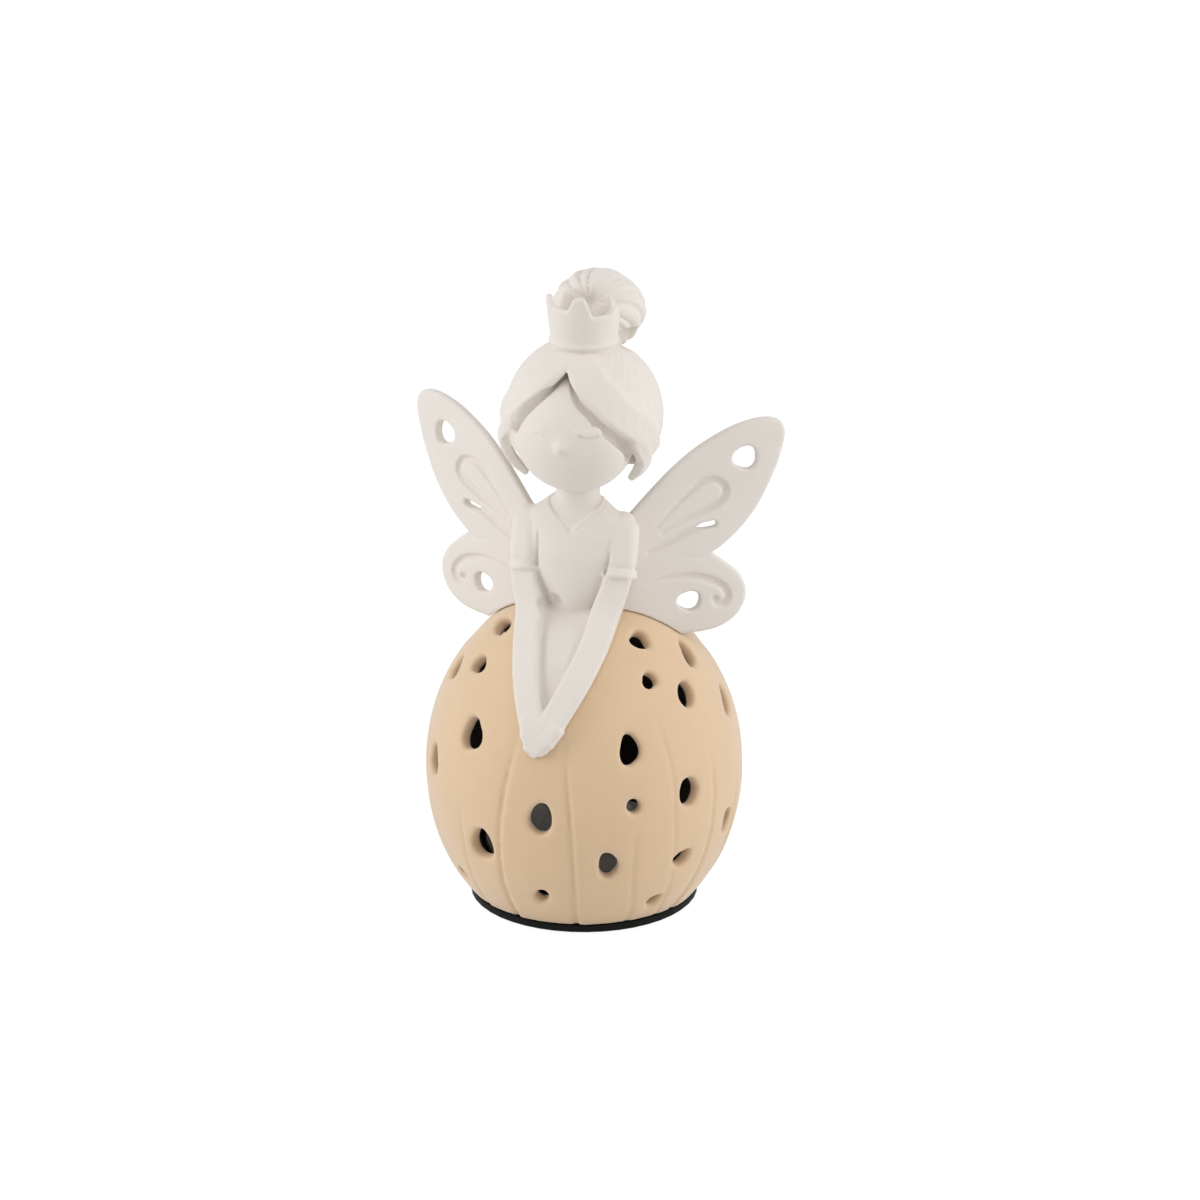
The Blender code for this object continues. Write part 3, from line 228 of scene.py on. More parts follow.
def skin(clay):
    """Points in millimetres and quads that lie on the clay's surface."""
    field = clay.field
    inside = field < 0
    ends = [size - 1 for size in inside.shape]
    count = sum(
        inside[a:ends[0] + a, b:ends[1] + b, c:ends[2] + c].astype(np.uint8)
        for a, b, c in itertools.product((0, 1), repeat=3)
    )
    active = (count > 0) & (count < 8)
    cells = np.argwhere(active)
    index = np.full(active.shape, -1, np.int32)
    index[active] = np.arange(len(cells))
    corners = {}
    for corner in itertools.product((0, 1), repeat=3):
        corners[corner] = field[cells[:, 0] + corner[0], cells[:, 1] + corner[1], cells[:, 2] + corner[2]]
    place = np.zeros((len(cells), 3), np.float32)
    crossings = np.zeros(len(cells), np.float32)
    for axis in range(3):
        for others in itertools.product((0, 1), repeat=2):
            start = list(others)
            start.insert(axis, 0)
            end = list(start)
            end[axis] = 1
            low, high = corners[tuple(start)], corners[tuple(end)]
            crossed = (low < 0) != (high < 0)
            along = np.where(crossed, low / np.where(crossed, low - high, 1), 0)
            for i in range(3):
                place[:, i] += np.where(crossed, along if i == axis else start[i], 0)
            crossings += crossed
    place = cells + place / crossings[:, None]
    quads = []
    for axis in range(3):
        b, c = (axis + 1) % 3, (axis + 2) % 3
        first = [slice(None)] * 3
        second = [slice(None)] * 3
        first[axis], second[axis] = slice(0, -1), slice(1, None)
        starts = inside[tuple(first)]
        edges = np.argwhere(starts != inside[tuple(second)])
        inner = (edges[:, b] > 0) & (edges[:, c] > 0)
        inner &= (edges[:, b] < field.shape[b] - 1) & (edges[:, c] < field.shape[c] - 1)
        edges = edges[inner]
        ring = []
        for step_b, step_c in ((1, 1), (0, 1), (0, 0), (1, 0)):
            cell = edges.copy()
            cell[:, b] -= step_b
            cell[:, c] -= step_c
            ring.append(index[cell[:, 0], cell[:, 1], cell[:, 2]])
        ring = np.stack(ring, axis=1)
        outward = starts[edges[:, 0], edges[:, 1], edges[:, 2]]
        quads.append(np.where(outward[:, None], ring, ring[:, ::-1]))
    quads = np.concatenate(quads)
    for _ in range(3):
        total = np.zeros_like(place)
        uses = np.zeros(len(place), np.float32)
        for k in range(4):
            one, other = quads[:, k], quads[:, (k + 1) % 4]
            for i in range(3):
                total[:, i] += np.bincount(one, place[other, i], len(place))
            uses += np.bincount(one, minlength=len(place))
        place = (place + total / uses[:, None]) / 2
        for _ in range(2):
            value, slope = sample(field, place)
            size = np.maximum((slope ** 2).sum(axis=1), 1e-4)
            place -= np.clip(value / size, -0.6, 0.6)[:, None] * slope
    return clay.low + place * clay.step, quads


def mesh_object(name, points, quads, material):
    """Smooth-shaded object from points in millimetres and quads."""
    mesh = bpy.data.meshes.new(name)
    mesh.vertices.add(len(points))
    mesh.vertices.foreach_set("co", (points * MM).astype(np.float32).ravel())
    mesh.loops.add(quads.size)
    mesh.loops.foreach_set("vertex_index", quads.astype(np.int32).ravel())
    mesh.polygons.add(len(quads))
    mesh.polygons.foreach_set("loop_start", np.arange(0, quads.size, 4, dtype=np.int32))
    mesh.polygons.foreach_set("loop_total", np.full(len(quads), 4, np.int32))
    mesh.update(calc_edges=True)
    mesh.validate()
    mesh.shade_smooth()
    mesh.materials.append(material)
    obj = bpy.data.objects.new(name, mesh)
    bpy.context.scene.collection.objects.link(obj)
    return obj


def egg(centre, axes):
    """Ellipsoid."""
    def distance(x, y, z):
        a, b, c = ((p - q) / r for p, q, r in zip((x, y, z), centre, axes))
        reach = np.sqrt(a * a + b * b + c * c)
        slope = np.sqrt((a / axes[0]) ** 2 + (b / axes[1]) ** 2 + (c / axes[2]) ** 2)
        return reach * (reach - 1) / np.maximum(slope, 1e-6)
    return distance


def dot(x, y, z, axis):
    """How far a place lies along an axis."""
    return x * axis[0] + y * axis[1] + z * axis[2]


def rounded(first, second, radius, beyond=0):
    """Distance to the rounded corner of two faces, each measured from a radius inside it."""
    away = np.sqrt(np.maximum(first, 0) ** 2 + np.maximum(second, 0) ** 2 + beyond * beyond)
    return away + np.minimum(np.maximum(first, second), 0) - radius


def curve_through(points, steps):
    """Smooth open curve through points, with a number of steps to each span."""
    points = np.array(points, float)
    ends = np.vstack([2 * points[0] - points[1], points, 2 * points[-1] - points[-2]])
    curve = []
    for a, b, c, d in zip(ends, ends[1:], ends[2:], ends[3:]):
        for step in range(steps):
            t = step / steps
            bend = (2 * a - 5 * b + 4 * c - d) * t ** 2 + (3 * b - a - 3 * c + d) * t ** 3
            curve.append((2 * b + (c - a) * t + bend) / 2)
    return np.array(curve + [points[-1]])


def bar(path, sizes, outwards, corner):
    """Bar of rounded rectangular section along a path: half width, half height and top at each station."""
    path, sizes, outwards = (np.array(values, float) for values in (path, sizes, outwards))
    acrosses, tops = [], []
    for i in range(len(path)):
        ahead = path[min(i + 1, len(path) - 1)] - path[max(i - 1, 0)]
        ahead /= np.linalg.norm(ahead)
        across = np.cross(ahead, outwards[i])
        across /= np.linalg.norm(across)
        acrosses.append(across)
        tops.append(np.cross(across, ahead))
    acrosses, tops = np.array(acrosses), np.array(tops)

    def distance(x, y, z):
        best = None
        for i in range(len(path) - 1):
            along = path[i + 1] - path[i]
            length = np.linalg.norm(along)
            px, py, pz = x - path[i][0], y - path[i][1], z - path[i][2]
            run = dot(px, py, pz, along) / length ** 2
            share = np.clip(run, 0, 1)
            qx, qy, qz = px - share * along[0], py - share * along[1], pz - share * along[2]
            across = [acrosses[i][k] + share * (acrosses[i + 1][k] - acrosses[i][k]) for k in range(3)]
            top = [tops[i][k] + share * (tops[i + 1][k] - tops[i][k]) for k in range(3)]
            u = np.abs(dot(qx, qy, qz, across))
            v = np.abs(dot(qx, qy, qz, top))
            w = (run - share) * length
            half_u = sizes[i][0] + share * (sizes[i + 1][0] - sizes[i][0])
            half_v = sizes[i][1] + share * (sizes[i + 1][1] - sizes[i][1])
            r = np.minimum(corner, np.minimum(half_u, half_v))
            here = rounded(u - half_u + r, v - half_v + r, r, w)
            best = here if best is None else np.minimum(best, here)
        return best.astype(np.float32)
    return distance


def reach_of(path, size):
    path = np.array(path)
    return path.min(axis=0) - size, path.max(axis=0) + size


def add_bar(clay, path, sizes, tops, corner, margin, soften):
    clay.add(bar(path, sizes, tops, corner), *reach_of(path, margin), soften)


def carve_bar(clay, path, sizes, tops, corner, margin, soften):
    clay.carve(bar(path, sizes, tops, corner), *reach_of(path, margin), soften)


def directions_from(centre, path):
    """Unit directions from a middle to each point of a path."""
    return (path - centre) / np.linalg.norm(path - centre, axis=1)[:, None]


def spread(values, count):
    """Values of a short list, spread evenly over a number of stations."""
    places = np.linspace(0, len(values) - 1, count)
    columns = np.array(values, float).T
    return np.array([np.interp(places, np.arange(len(values)), column) for column in columns]).T


def dome_point(longitude, latitude, lift=0.0):
    """Point on the dome, or lifted off it, and the way its surface faces there."""
    turn, rise = math.radians(longitude), math.radians(latitude)
    point = np.array((math.sin(turn) * math.cos(rise), -math.cos(turn) * math.cos(rise), math.sin(rise)))
    point *= (DOME_RADIUS, DOME_RADIUS, DOME_HALF_HEIGHT)
    normal = point / np.array((DOME_RADIUS, DOME_RADIUS, DOME_HALF_HEIGHT)) ** 2
    normal /= np.linalg.norm(normal)
    return point + (0, 0, DOME_CENTRE) + normal * lift, normal


class Drawing:
    """Distances on a flat sheet to an outline or a line, read off between its points."""
    low = np.array((0.0, -45.0))
    high = np.array((75.0, 42.0))
    step = 0.3

    def __init__(self, points, closed):
        points = np.array(points, float)
        counts = np.ceil((self.high - self.low) / self.step).astype(int) + 1
        u = (self.low[0] + self.step * np.arange(counts[0]))[:, None]
        v = (self.low[1] + self.step * np.arange(counts[1]))[None, :]
        nearest = np.full(counts, 1e9)
        self.run = np.zeros(counts, np.float32)
        within = np.zeros(counts, bool)
        ends = np.roll(points, -1, axis=0) if closed else points[1:]
        for i, ((au, av), (bu, bv)) in enumerate(zip(points, ends)):
            du, dv = bu - au, bv - av
            share = np.clip(((u - au) * du + (v - av) * dv) / (du * du + dv * dv), 0, 1)
            gap = (u - au - share * du) ** 2 + (v - av - share * dv) ** 2
            closer = gap < nearest
            nearest = np.where(closer, gap, nearest)
            self.run = np.where(closer, (i + share) / len(ends), self.run)
            if closed and av != bv:
                crossing = ((v >= av) != (v >= bv)) & (u < au + (v - av) / (bv - av) * du)
                within ^= crossing
        self.field = np.sqrt(nearest).astype(np.float32)
        if closed:
            self.field = np.where(within, -self.field, self.field)

    def read(self, values, u, v):
        a = np.clip((u - self.low[0]) / self.step, 0, values.shape[0] - 1.001)
        b = np.clip((v - self.low[1]) / self.step, 0, values.shape[1] - 1.001)
        i, j = a.astype(np.int32), b.astype(np.int32)
        s, t = a - i, b - j
        low = values[i, j] * (1 - t) + values[i, j + 1] * t
        high = values[i + 1, j] * (1 - t) + values[i + 1, j + 1] * t
        return low * (1 - s) + high * s

    def distance(self, u, v):
        return self.read(self.field, u, v)

    def share(self, u, v):
        """How far along the line its nearest point lies, from 0 to 1."""
        return self.read(self.run, u, v)


def wing_shape(groove):
    """Both wings as one pressed plate, mirrored about the figure's middle."""
    sweep, lean = math.radians(WING_SWEEP), math.radians(WING_LEAN)
    out = np.array((math.cos(sweep), math.sin(sweep), 0))
    up = np.array((-math.sin(sweep) * math.sin(lean), math.cos(sweep) * math.sin(lean), math.cos(lean)))
    front = np.cross(up, out)
    root = np.array(WING_ROOT)
    edge = 1.2
    upper = curve_through(WING_OUTLINE[:WING_NOTCH + 1], 4)
    lower = curve_through(WING_OUTLINE[WING_NOTCH:], 4)
    plate = Drawing(np.vstack([upper, lower[1:]]), True)
    teardrop = Drawing(curve_through(TEARDROP_GROOVE, 4), False)
    curl = Drawing(curve_through(CURL_GROOVE, 4), False)
    slit = Drawing(curve_through(SLIT, 4), False)
    step_line = Drawing(curve_through([(44.2, -8.6), (41, -9.6), (37.5, -9.4), (34, -8.6)], 3), False)

    def distance(x, y, z):
        px, py, pz = np.abs(x) - root[0], y - root[1], z - root[2]
        u, v, w = (dot(px, py, pz, axis) for axis in (out, up, front))
        swell = 0.25 * smooth_step(0, 6, -plate.distance(u, v))
        d = rounded(plate.distance(u, v) + edge, np.abs(w) - WING_HALF - swell + edge, edge)
        for hole_u, hole_v, half_width, half_height in WING_HOLES:
            wobble = 1 + 0.06 * np.sin(3 * np.arctan2(v - hole_v, u - hole_u) + hole_u)
            ring = np.hypot((u - hole_u) / half_width, (v - hole_v) / half_height) - wobble
            d = soft_cut(d, ring * half_height, 0.8)
        side = np.abs(w) - WING_HALF - 0.2
        along = teardrop.share(u, v)
        width = groove * (0.35 + 0.65 * smooth_step(0.02, 0.3, along) * smooth_step(1.0, 0.75, along))
        d = soft_cut(d, np.hypot(teardrop.distance(u, v), side) - width, 0.4)
        along = curl.share(u, v)
        width = groove * (0.30 + 0.65 * smooth_step(0.0, 0.45, along))
        d = soft_cut(d, np.hypot(curl.distance(u, v), side) - width, 0.4)
        along = slit.share(u, v)
        width = groove * (0.45 + 0.50 * smooth_step(0.0, 0.8, along))
        d = soft_cut(d, np.hypot(slit.distance(u, v), side) - width, 0.3)
        opening = slit.distance(u, v) - 1.0 * smooth_step(0.72, 0.9, along)
        d = soft_cut(d, opening, 0.5)
        width = 0.8 * (1 - step_line.share(u, v))
        d = soft_cut(d, np.hypot(step_line.distance(u, v), side) - width, 0.4)
        return d.astype(np.float32)
    return distance


def torso_shape(x, y, z):
    """Bodice: narrow waist, full bust and straight sloping shoulders."""
    rise = z - WAIST
    stations = [-3.0, -1.2, 0.0, 2.0, 5.0, 11.5, 18.5, 25.0, 29.0, 31.3, 33.8, 36.0, 39.0]
    halves = [4.0, 5.3, 6.2, 7.3, 8.9, 11.8, 13.4, 14.0, 14.2, 12.6, 9.3, 6.9, 6.4]
    depths = [4.4, 5.4, 5.9, 6.5, 7.0, 7.5, 7.7, 6.9, 6.0, 5.8, 6.0, 6.4, 6.3]
    backs = [0.0, 0, 0, 0, 0, 0, 0, 0.6, 1.4, 2.0, 2.8, 3.6, 4.4]
    half = np.interp(rise, stations, halves)
    depth = np.interp(rise, stations, depths)
    back = np.interp(rise, stations, backs)
    a, b = x / half, (y - TORSO_Y - back) / depth
    around = (np.sqrt(a * a + b * b) - 1) * np.minimum(half, depth)
    return np.maximum(around, -2.6 - rise).astype(np.float32)


def neck_shape(x, y, z):
    """Neck, leaning back a little and widening into the shoulders."""
    rise = z - 133
    radius = 6.3 + 1.6 * np.exp(-np.maximum(rise, 0) / 2.2)
    reach = np.hypot(x, y + 7.6 - 0.12 * rise) - radius
    return np.maximum(reach, np.maximum(128 - z, z - 150)).astype(np.float32)


def dress_shape(x, y, z):
    """The dress over the bodice: a shade fuller, with a folded edge at its V-shaped neckline."""
    edge = 128.0 + 1.02 * np.abs(x) ** 0.97 + 1.6 * smooth_step(-12, -4, y)
    fold = 0.35 * np.exp(-((edge - z - 1.5) / 0.4) ** 2) * smooth_step(0.5, 3, x)
    return np.maximum(torso_shape(x, y, z) - 0.75 + fold, (z - edge) * 0.7)


def arm_stations():
    """Middle line of the right arm from the shoulder to the hands, and the way its outer face looks."""
    points = [np.array((14.8, TORSO_Y + 3.0, WAIST + 27.0)), np.array((14.6, TORSO_Y - 2.0, WAIST + 11.5))]
    faces = [np.array((0.3, -0.95, 0)), np.array((0.25, -0.95, 0.2))]
    lifts = [(33, 67, 8.5), (22, 57, 5.0), (13, 45, 4.2), (7, 35, 4.2), (3, 27.5, 4.2), (0.8, 23, 3.4)]
    for longitude, latitude, lift in lifts:
        point, normal = dome_point(longitude, latitude, lift - 4.5)
        points.append(point)
        faces.append(normal)
    return points, faces


def side_of(points, side):
    """Points or directions on the figure's right, for 1, or their mirror image, for -1."""
    return np.array(points) * (side, 1, 1)


def arm_shift(side, share):
    """How far an arm moves to the figure's left on its way to the hands, which lie off the middle."""
    return (2.2 if side > 0 else 1.4) * smooth_step(0.4, 1.0, share)


def add_arm(clay, side):
    points, faces = arm_stations()
    path = side_of(curve_through(points, 3), side)
    path[:, 0] -= arm_shift(side, np.linspace(0, 1, len(path)))
    tops = side_of(curve_through(faces, 3), side)
    sizes = [(4.0, 4.0), (4.4, 4.4), (4.4, 4.5), (4.4, 4.5), (4.4, 4.5), (4.2, 4.5), (3.9, 4.4), (3.2, 3.6)]
    add_bar(clay, path, spread(sizes, len(path)), tops, 1.25, 7, 0.25)


def round_block(centre, axis, radius, half_length, soften):
    """Short round block about an axis, with rounded edges."""
    def distance(x, y, z):
        px, py, pz = x - centre[0], y - centre[1], z - centre[2]
        along = dot(px, py, pz, axis)
        away = np.sqrt(np.maximum(px * px + py * py + pz * pz - along * along, 0))
        distance_out = rounded(away - radius + soften, np.abs(along) - half_length + soften, soften)
        return distance_out.astype(np.float32)
    return distance


def add_sleeve(clay, side):
    """Short sleeve that ends in a rolled cuff under a thin fold."""
    points, faces = arm_stations()
    top, foot = side_of(points[0], side), side_of(points[1], side)
    length = np.linalg.norm(foot - top)
    axis = (foot - top) / length
    stations = [(-0.6, 4.2), (1.5, 5.3), (5, 5.5), (length - 5.2, 5.45)]
    path = [top + axis * along for along, radius in stations]
    sizes = [(radius, radius) for along, radius in stations]
    tops = [side_of(faces[0], side)] * len(path)
    add_bar(clay, path, sizes, tops, 4.0, 8, 0.5)
    # The fold above, then the cuff: distance down the sleeve, radius, half length and rounding.
    rings = ((length - 2.3, 5.75, 0.6, 0.35), (length - 0.9, 6.1, 1.0, 0.8))
    for along, radius, half_length, soften in rings:
        centre = top + axis * along
        clay.add(round_block(centre, axis, radius, half_length, soften), centre - 8, centre + 8, 0.2)


def add_lap(clay):
    """Front of the dress between the arms, lower than they are and rounded across."""
    path, tops, sizes = [], [], []
    for i in range(10):
        share = i / 9
        y = TORSO_Y - 2 - share * 28
        reach = min(abs(y) / DOME_RADIUS, 0.999)
        point, normal = dome_point(0, math.degrees(math.acos(reach)), -2.0)
        path.append(point)
        tops.append(normal)
        sizes.append((9.8 * (1 - 0.55 * share), 4.4 - 1.2 * share))
    add_bar(clay, path, sizes, tops, 3.0, 12, 0.5)


def crease_body(clay):
    """Creases where sleeves and arms press against the bodice, and gaps beside the arms over the lap."""
    points, faces = arm_stations()
    for side, half, deep in ((-1, 0.9, 1.7), (1, 0.45, 1.3)):
        path = side_of(curve_through(points, 3), side)
        tops = side_of(curve_through(faces, 3), side)
        run = np.gradient(path, axis=0)
        inward = np.cross(tops, run)
        inward /= np.linalg.norm(inward, axis=1)[:, None]
        inward *= np.sign(-side * inward[:, :1])
        share = np.linspace(0, 1, len(path))
        path[:, 0] -= arm_shift(side, share)
        beside = np.nonzero((share > 0.36) & (share < 0.76))[0]
        path = (path + inward * (4.4 + half * 0.6) + tops * 2.9)[beside]
        carve_bar(clay, path, [(half, deep)] * len(path), tops[beside], 0.45, 5, 0.6)
    pocket = np.array((-5.5, -20.5, 104.8))
    clay.carve(egg(pocket, (4.0, 4.4, 3.1)), pocket - 7, pocket + 7, 0.8)
    for turns in (((-10.9, 134), (-10.5, 127), (-10.8, 116)), ((12.8, 125), (12.4, 120), (11.4, 115))):
        path = curve_through(np.array([(x, TORSO_Y - 7.4, z) for x, z in turns]), 4)
        tops = [np.array((0, -1.0, 0))] * len(path)
        carve_bar(clay, path, [(0.4, 3.0)] * len(path), tops, 0.4, 4, 0.5)


def add_hands(clay):
    """Both hands folded one over the other, to a blunt end a little off the middle."""
    path, tops = [], []
    for turn, rise in ((-0.6, 33), (-1.4, 29.5), (-2.8, 25), (-3.8, 22)):
        point, normal = dome_point(turn, rise, 0.4)
        path.append(point)
        tops.append(normal)
    sizes = [(5.4, 3.0), (7.1, 4.2), (5.7, 4.0), (3.6, 3.0)]
    add_bar(clay, path, sizes, tops, 1.7, 9, 0.5)
    fold = [dome_point(turn, rise, 4.9)[0] for turn, rise in ((4.5, 33), (0.5, 28.5), (-3.0, 24.8))]
    carve_bar(clay, fold, [(0.3, 0.3)] * 3, tops[:3], 0.3, 4, 0.8)


def body_clay(step, groove):
    clay = Clay((-63, -54, 60), (63, 26, 163), step)
    clay.add(wing_shape(groove), (-62, -14, 84), (62, 24, 162))
    clay.add(torso_shape, (-16, -24, 97), (16, 2, 142), 1.2)
    clay.add(dress_shape, (-16, -24, 97), (16, 2, 142), 0.15)
    clay.add(neck_shape, (-10, -18, 128), (10, 2, 150), 1.5)
    add_lap(clay)
    for side in (-1, 1):
        add_arm(clay, side)
    add_hands(clay)
    for side in (-1, 1):
        add_sleeve(clay, side)
    crease_body(clay)
    dome = egg((0, 0, DOME_CENTRE), (DOME_RADIUS + 0.12, DOME_RADIUS + 0.12, DOME_HALF_HEIGHT + 0.12))
    clay.carve(dome, (-54, -54, 60), (54, 54, 104))
    return clay


def fringe_outline():
    right = curve_through(FRINGE_RIGHT, 4)
    left = curve_through(FRINGE_LEFT, 4) * (-1, 1)
    foot = [(right[-1][0], -30), (left[-1][0], -30)]
    return np.vstack([right, foot, left[::-1]])


def flat_distance(points, u, v):
    """Distance on a plane to a closed outline, negative inside it."""
    nearest = np.full(np.broadcast(u, v).shape, 1e9)
    within = np.zeros(nearest.shape, bool)
    for (au, av), (bu, bv) in zip(points, np.roll(points, -1, axis=0)):
        du, dv = bu - au, bv - av
        share = np.clip(((u - au) * du + (v - av) * dv) / (du * du + dv * dv), 0, 1)
        nearest = np.minimum(nearest, (u - au - share * du) ** 2 + (v - av - share * dv) ** 2)
        if av != bv:
            within ^= ((v >= av) != (v >= bv)) & (u < au + (v - av) / (bv - av) * du)
    return np.where(within, -1, 1) * np.sqrt(nearest)


def face_opening(x, y, z):
    """Space in front of the face, between the two halves of the fringe."""
    flat = flat_distance(fringe_outline(), x - HAIR_CENTRE[0], z - HAIR_CENTRE[2])
    return np.maximum(flat, y - FACE_CENTRE[1] - 4).astype(np.float32)


def across_edge(edge, i):
    """Unit direction across an edge of the fringe, towards the hair, at one of its points."""
    down = edge[min(i + 1, len(edge) - 1)] - edge[max(i - 1, 0)]
    down /= np.linalg.norm(down)
    return np.array((-down[1], down[0]))


def add_fringe(clay, side, edge):
    """Swell of the hair along one half of the fringe, thickest near its edge."""
    half = 4.4
    edge = np.array(edge, float)
    points = []
    for i, place in enumerate(edge):
        x, height = place + across_edge(edge, i) * half * (0.6 if i > len(edge) - 2 else 1)
        depth = math.sqrt(max(HAIR_RADIUS ** 2 - x * x - height * height, 0))
        points.append(HAIR_CENTRE + (side * x, -depth, height))
    path = curve_through(points, 3)
    sizes = [(3.0, 0.5), (4.4, 0.8), (4.6, 1.0), (4.6, 1.1), (4.4, 1.2), (3.8, 1.4), (3.2, 1.6)]
    add_bar(clay, path, spread(sizes, len(path)), directions_from(HAIR_CENTRE, path), 0.5, 8, 4.5)


def add_lock_end(clay, side, edge, end):
    """Free end of a lock, curling below the temple to a blunt tip."""
    x, height = edge[-2][0] + 1.6, edge[-2][1] + 1.4
    start = (x, -math.sqrt(HAIR_RADIUS ** 2 - x * x - height * height), height, 2.4, 1.6)
    stations = np.array([start] + end)
    path = HAIR_CENTRE + curve_through(stations[:, :3] * (side, 1, 1), 4)
    tops = directions_from(HAIR_CENTRE, path)
    add_bar(clay, path, spread(stations[:, 3:], len(path)), tops, 0.9, 5, 0.9)


def crown_rim(angle):
    """Height of the crown's rim, at an angle from the front prong towards the right."""
    levels = [height for pair in zip(CROWN_PRONGS, CROWN_GAPS) for height in pair]
    levels = np.array(levels + levels[:1])
    place = (angle / (math.pi / len(CROWN_PRONGS))) % (len(levels) - 1)
    low = place.astype(np.int32)
    share = place - low
    from_prong = smooth_step(0.16, 0.64, np.where(low % 2, 1 - share, share))
    prong = np.where(low % 2, levels[low + 1], levels[low])
    gap = np.where(low % 2, levels[low], levels[low + 1])
    return prong + (gap - prong) * from_prong


def crown_shape(x, y, z):
    """Open crown with blunt prongs, on a rounded foot ring."""
    px, py = x - HAIR_CENTRE[0], y - HAIR_CENTRE[1]
    angle = np.arctan2(px, -py) - math.radians(8)
    rise = z - HAIR_CENTRE[2] - CROWN_FOOT
    radius = CROWN_RADIUS + 1.3 * np.clip(rise / 12, -0.3, 1.6)
    wall = np.abs(np.hypot(px, py) - radius) - 1.15
    wall = wall - 0.75 * np.exp(-((rise - 1.5) / 0.9) ** 2)
    top = (rise - crown_rim(np.mod(angle, 2 * math.pi))) * 0.75
    bottom = -rise - 6
    edge = 1.1
    return rounded(wall + edge, np.maximum(top, bottom) + edge, edge).astype(np.float32)


def bun_shape(x, y, z):
    """Gathered bun whose uneven strands run from a dimple inside the crown round to the back."""
    tilt = math.radians(BUN_TILT)
    py, pz = y - BUN_CENTRE[1], z - BUN_CENTRE[2]
    ty = py * math.cos(tilt) + pz * math.sin(tilt)
    tz = -py * math.sin(tilt) + pz * math.cos(tilt)
    a, b, c = (p / axis for p, axis in zip((x, ty, tz), BUN_AXES))
    reach = np.sqrt(a * a + b * b + c * c)
    polar = np.arccos(np.clip(-b / np.maximum(reach, 1e-6), -1, 1))
    around = np.arctan2(c, a) + 0.34 * polar + 0.12 * np.sin(3 * polar + 1.0)
    uneven = around + 0.16 * np.sin(2 * around + 0.7) + 0.10 * np.sin(5 * around + 2.0)
    strand = np.abs(np.sin(uneven * 7))
    deep = 0.75 + 0.35 * np.sin(3 * around + 0.5)
    ridge = 1.6 * deep * np.sin(np.clip(polar, 0, math.pi)) ** 0.7 * (strand ** 0.5 - 0.85)
    fine = 0.14 * np.sin(uneven * 42 + 2 * np.sin(around * 9))
    dimple = 3.6 * np.exp(-(polar / 0.30) ** 2)
    slope = np.sqrt((a / BUN_AXES[0]) ** 2 + (b / BUN_AXES[1]) ** 2 + (c / BUN_AXES[2]) ** 2)
    return (reach * (reach - 1) / np.maximum(slope, 1e-6) - ridge - fine + dimple + 0.3).astype(np.float32)


def eye_path(side, middle, half_length):
    """Closed eye: a shallow arc on the face that sags in the middle."""
    path = []
    for share in np.linspace(-1, 1, 9):
        x = side * middle + share * half_length
        height = 2.6 + 0.12 * (share * half_length) ** 2
        inside = 1 - (x / FACE_AXES[0]) ** 2 - (height / FACE_AXES[2]) ** 2
        path.append(FACE_CENTRE + (x, -FACE_AXES[1] * math.sqrt(inside), height))
    return np.array(path)


def hair_grooves(depth):
    """Shallow strands that run from the hairline up to the bun."""
    def press(x, y, z):
        px, py, pz = x, y - HAIR_CENTRE[1], z - HAIR_CENTRE[2]
        away = np.sqrt(px * px + py * py + pz * pz)
        hair = smooth_step(23.0, 24.4, away) * smooth_step(29.5, 28.0, away)
        axis_y, axis_z = math.sin(math.radians(28)), math.cos(math.radians(28))
        turn = np.arctan2(px, -py * axis_z + pz * axis_y)
        polar = np.arccos(np.clip((py * axis_y + pz * axis_z) / np.maximum(away, 1e-6), -1, 1))
        wave = np.sin(turn * 46 + 3.0 * np.sin(polar * 4 + turn * 3)) * 0.6
        wave = wave + np.sin(turn * 83 + polar * 9) * 0.4
        side = 0.25 + 0.75 * smooth_step(-16, 4, py + 0.5 * px)
        return (depth * side * hair * wave * smooth_step(0.35, 0.9, polar)).astype(np.float32)
    return press


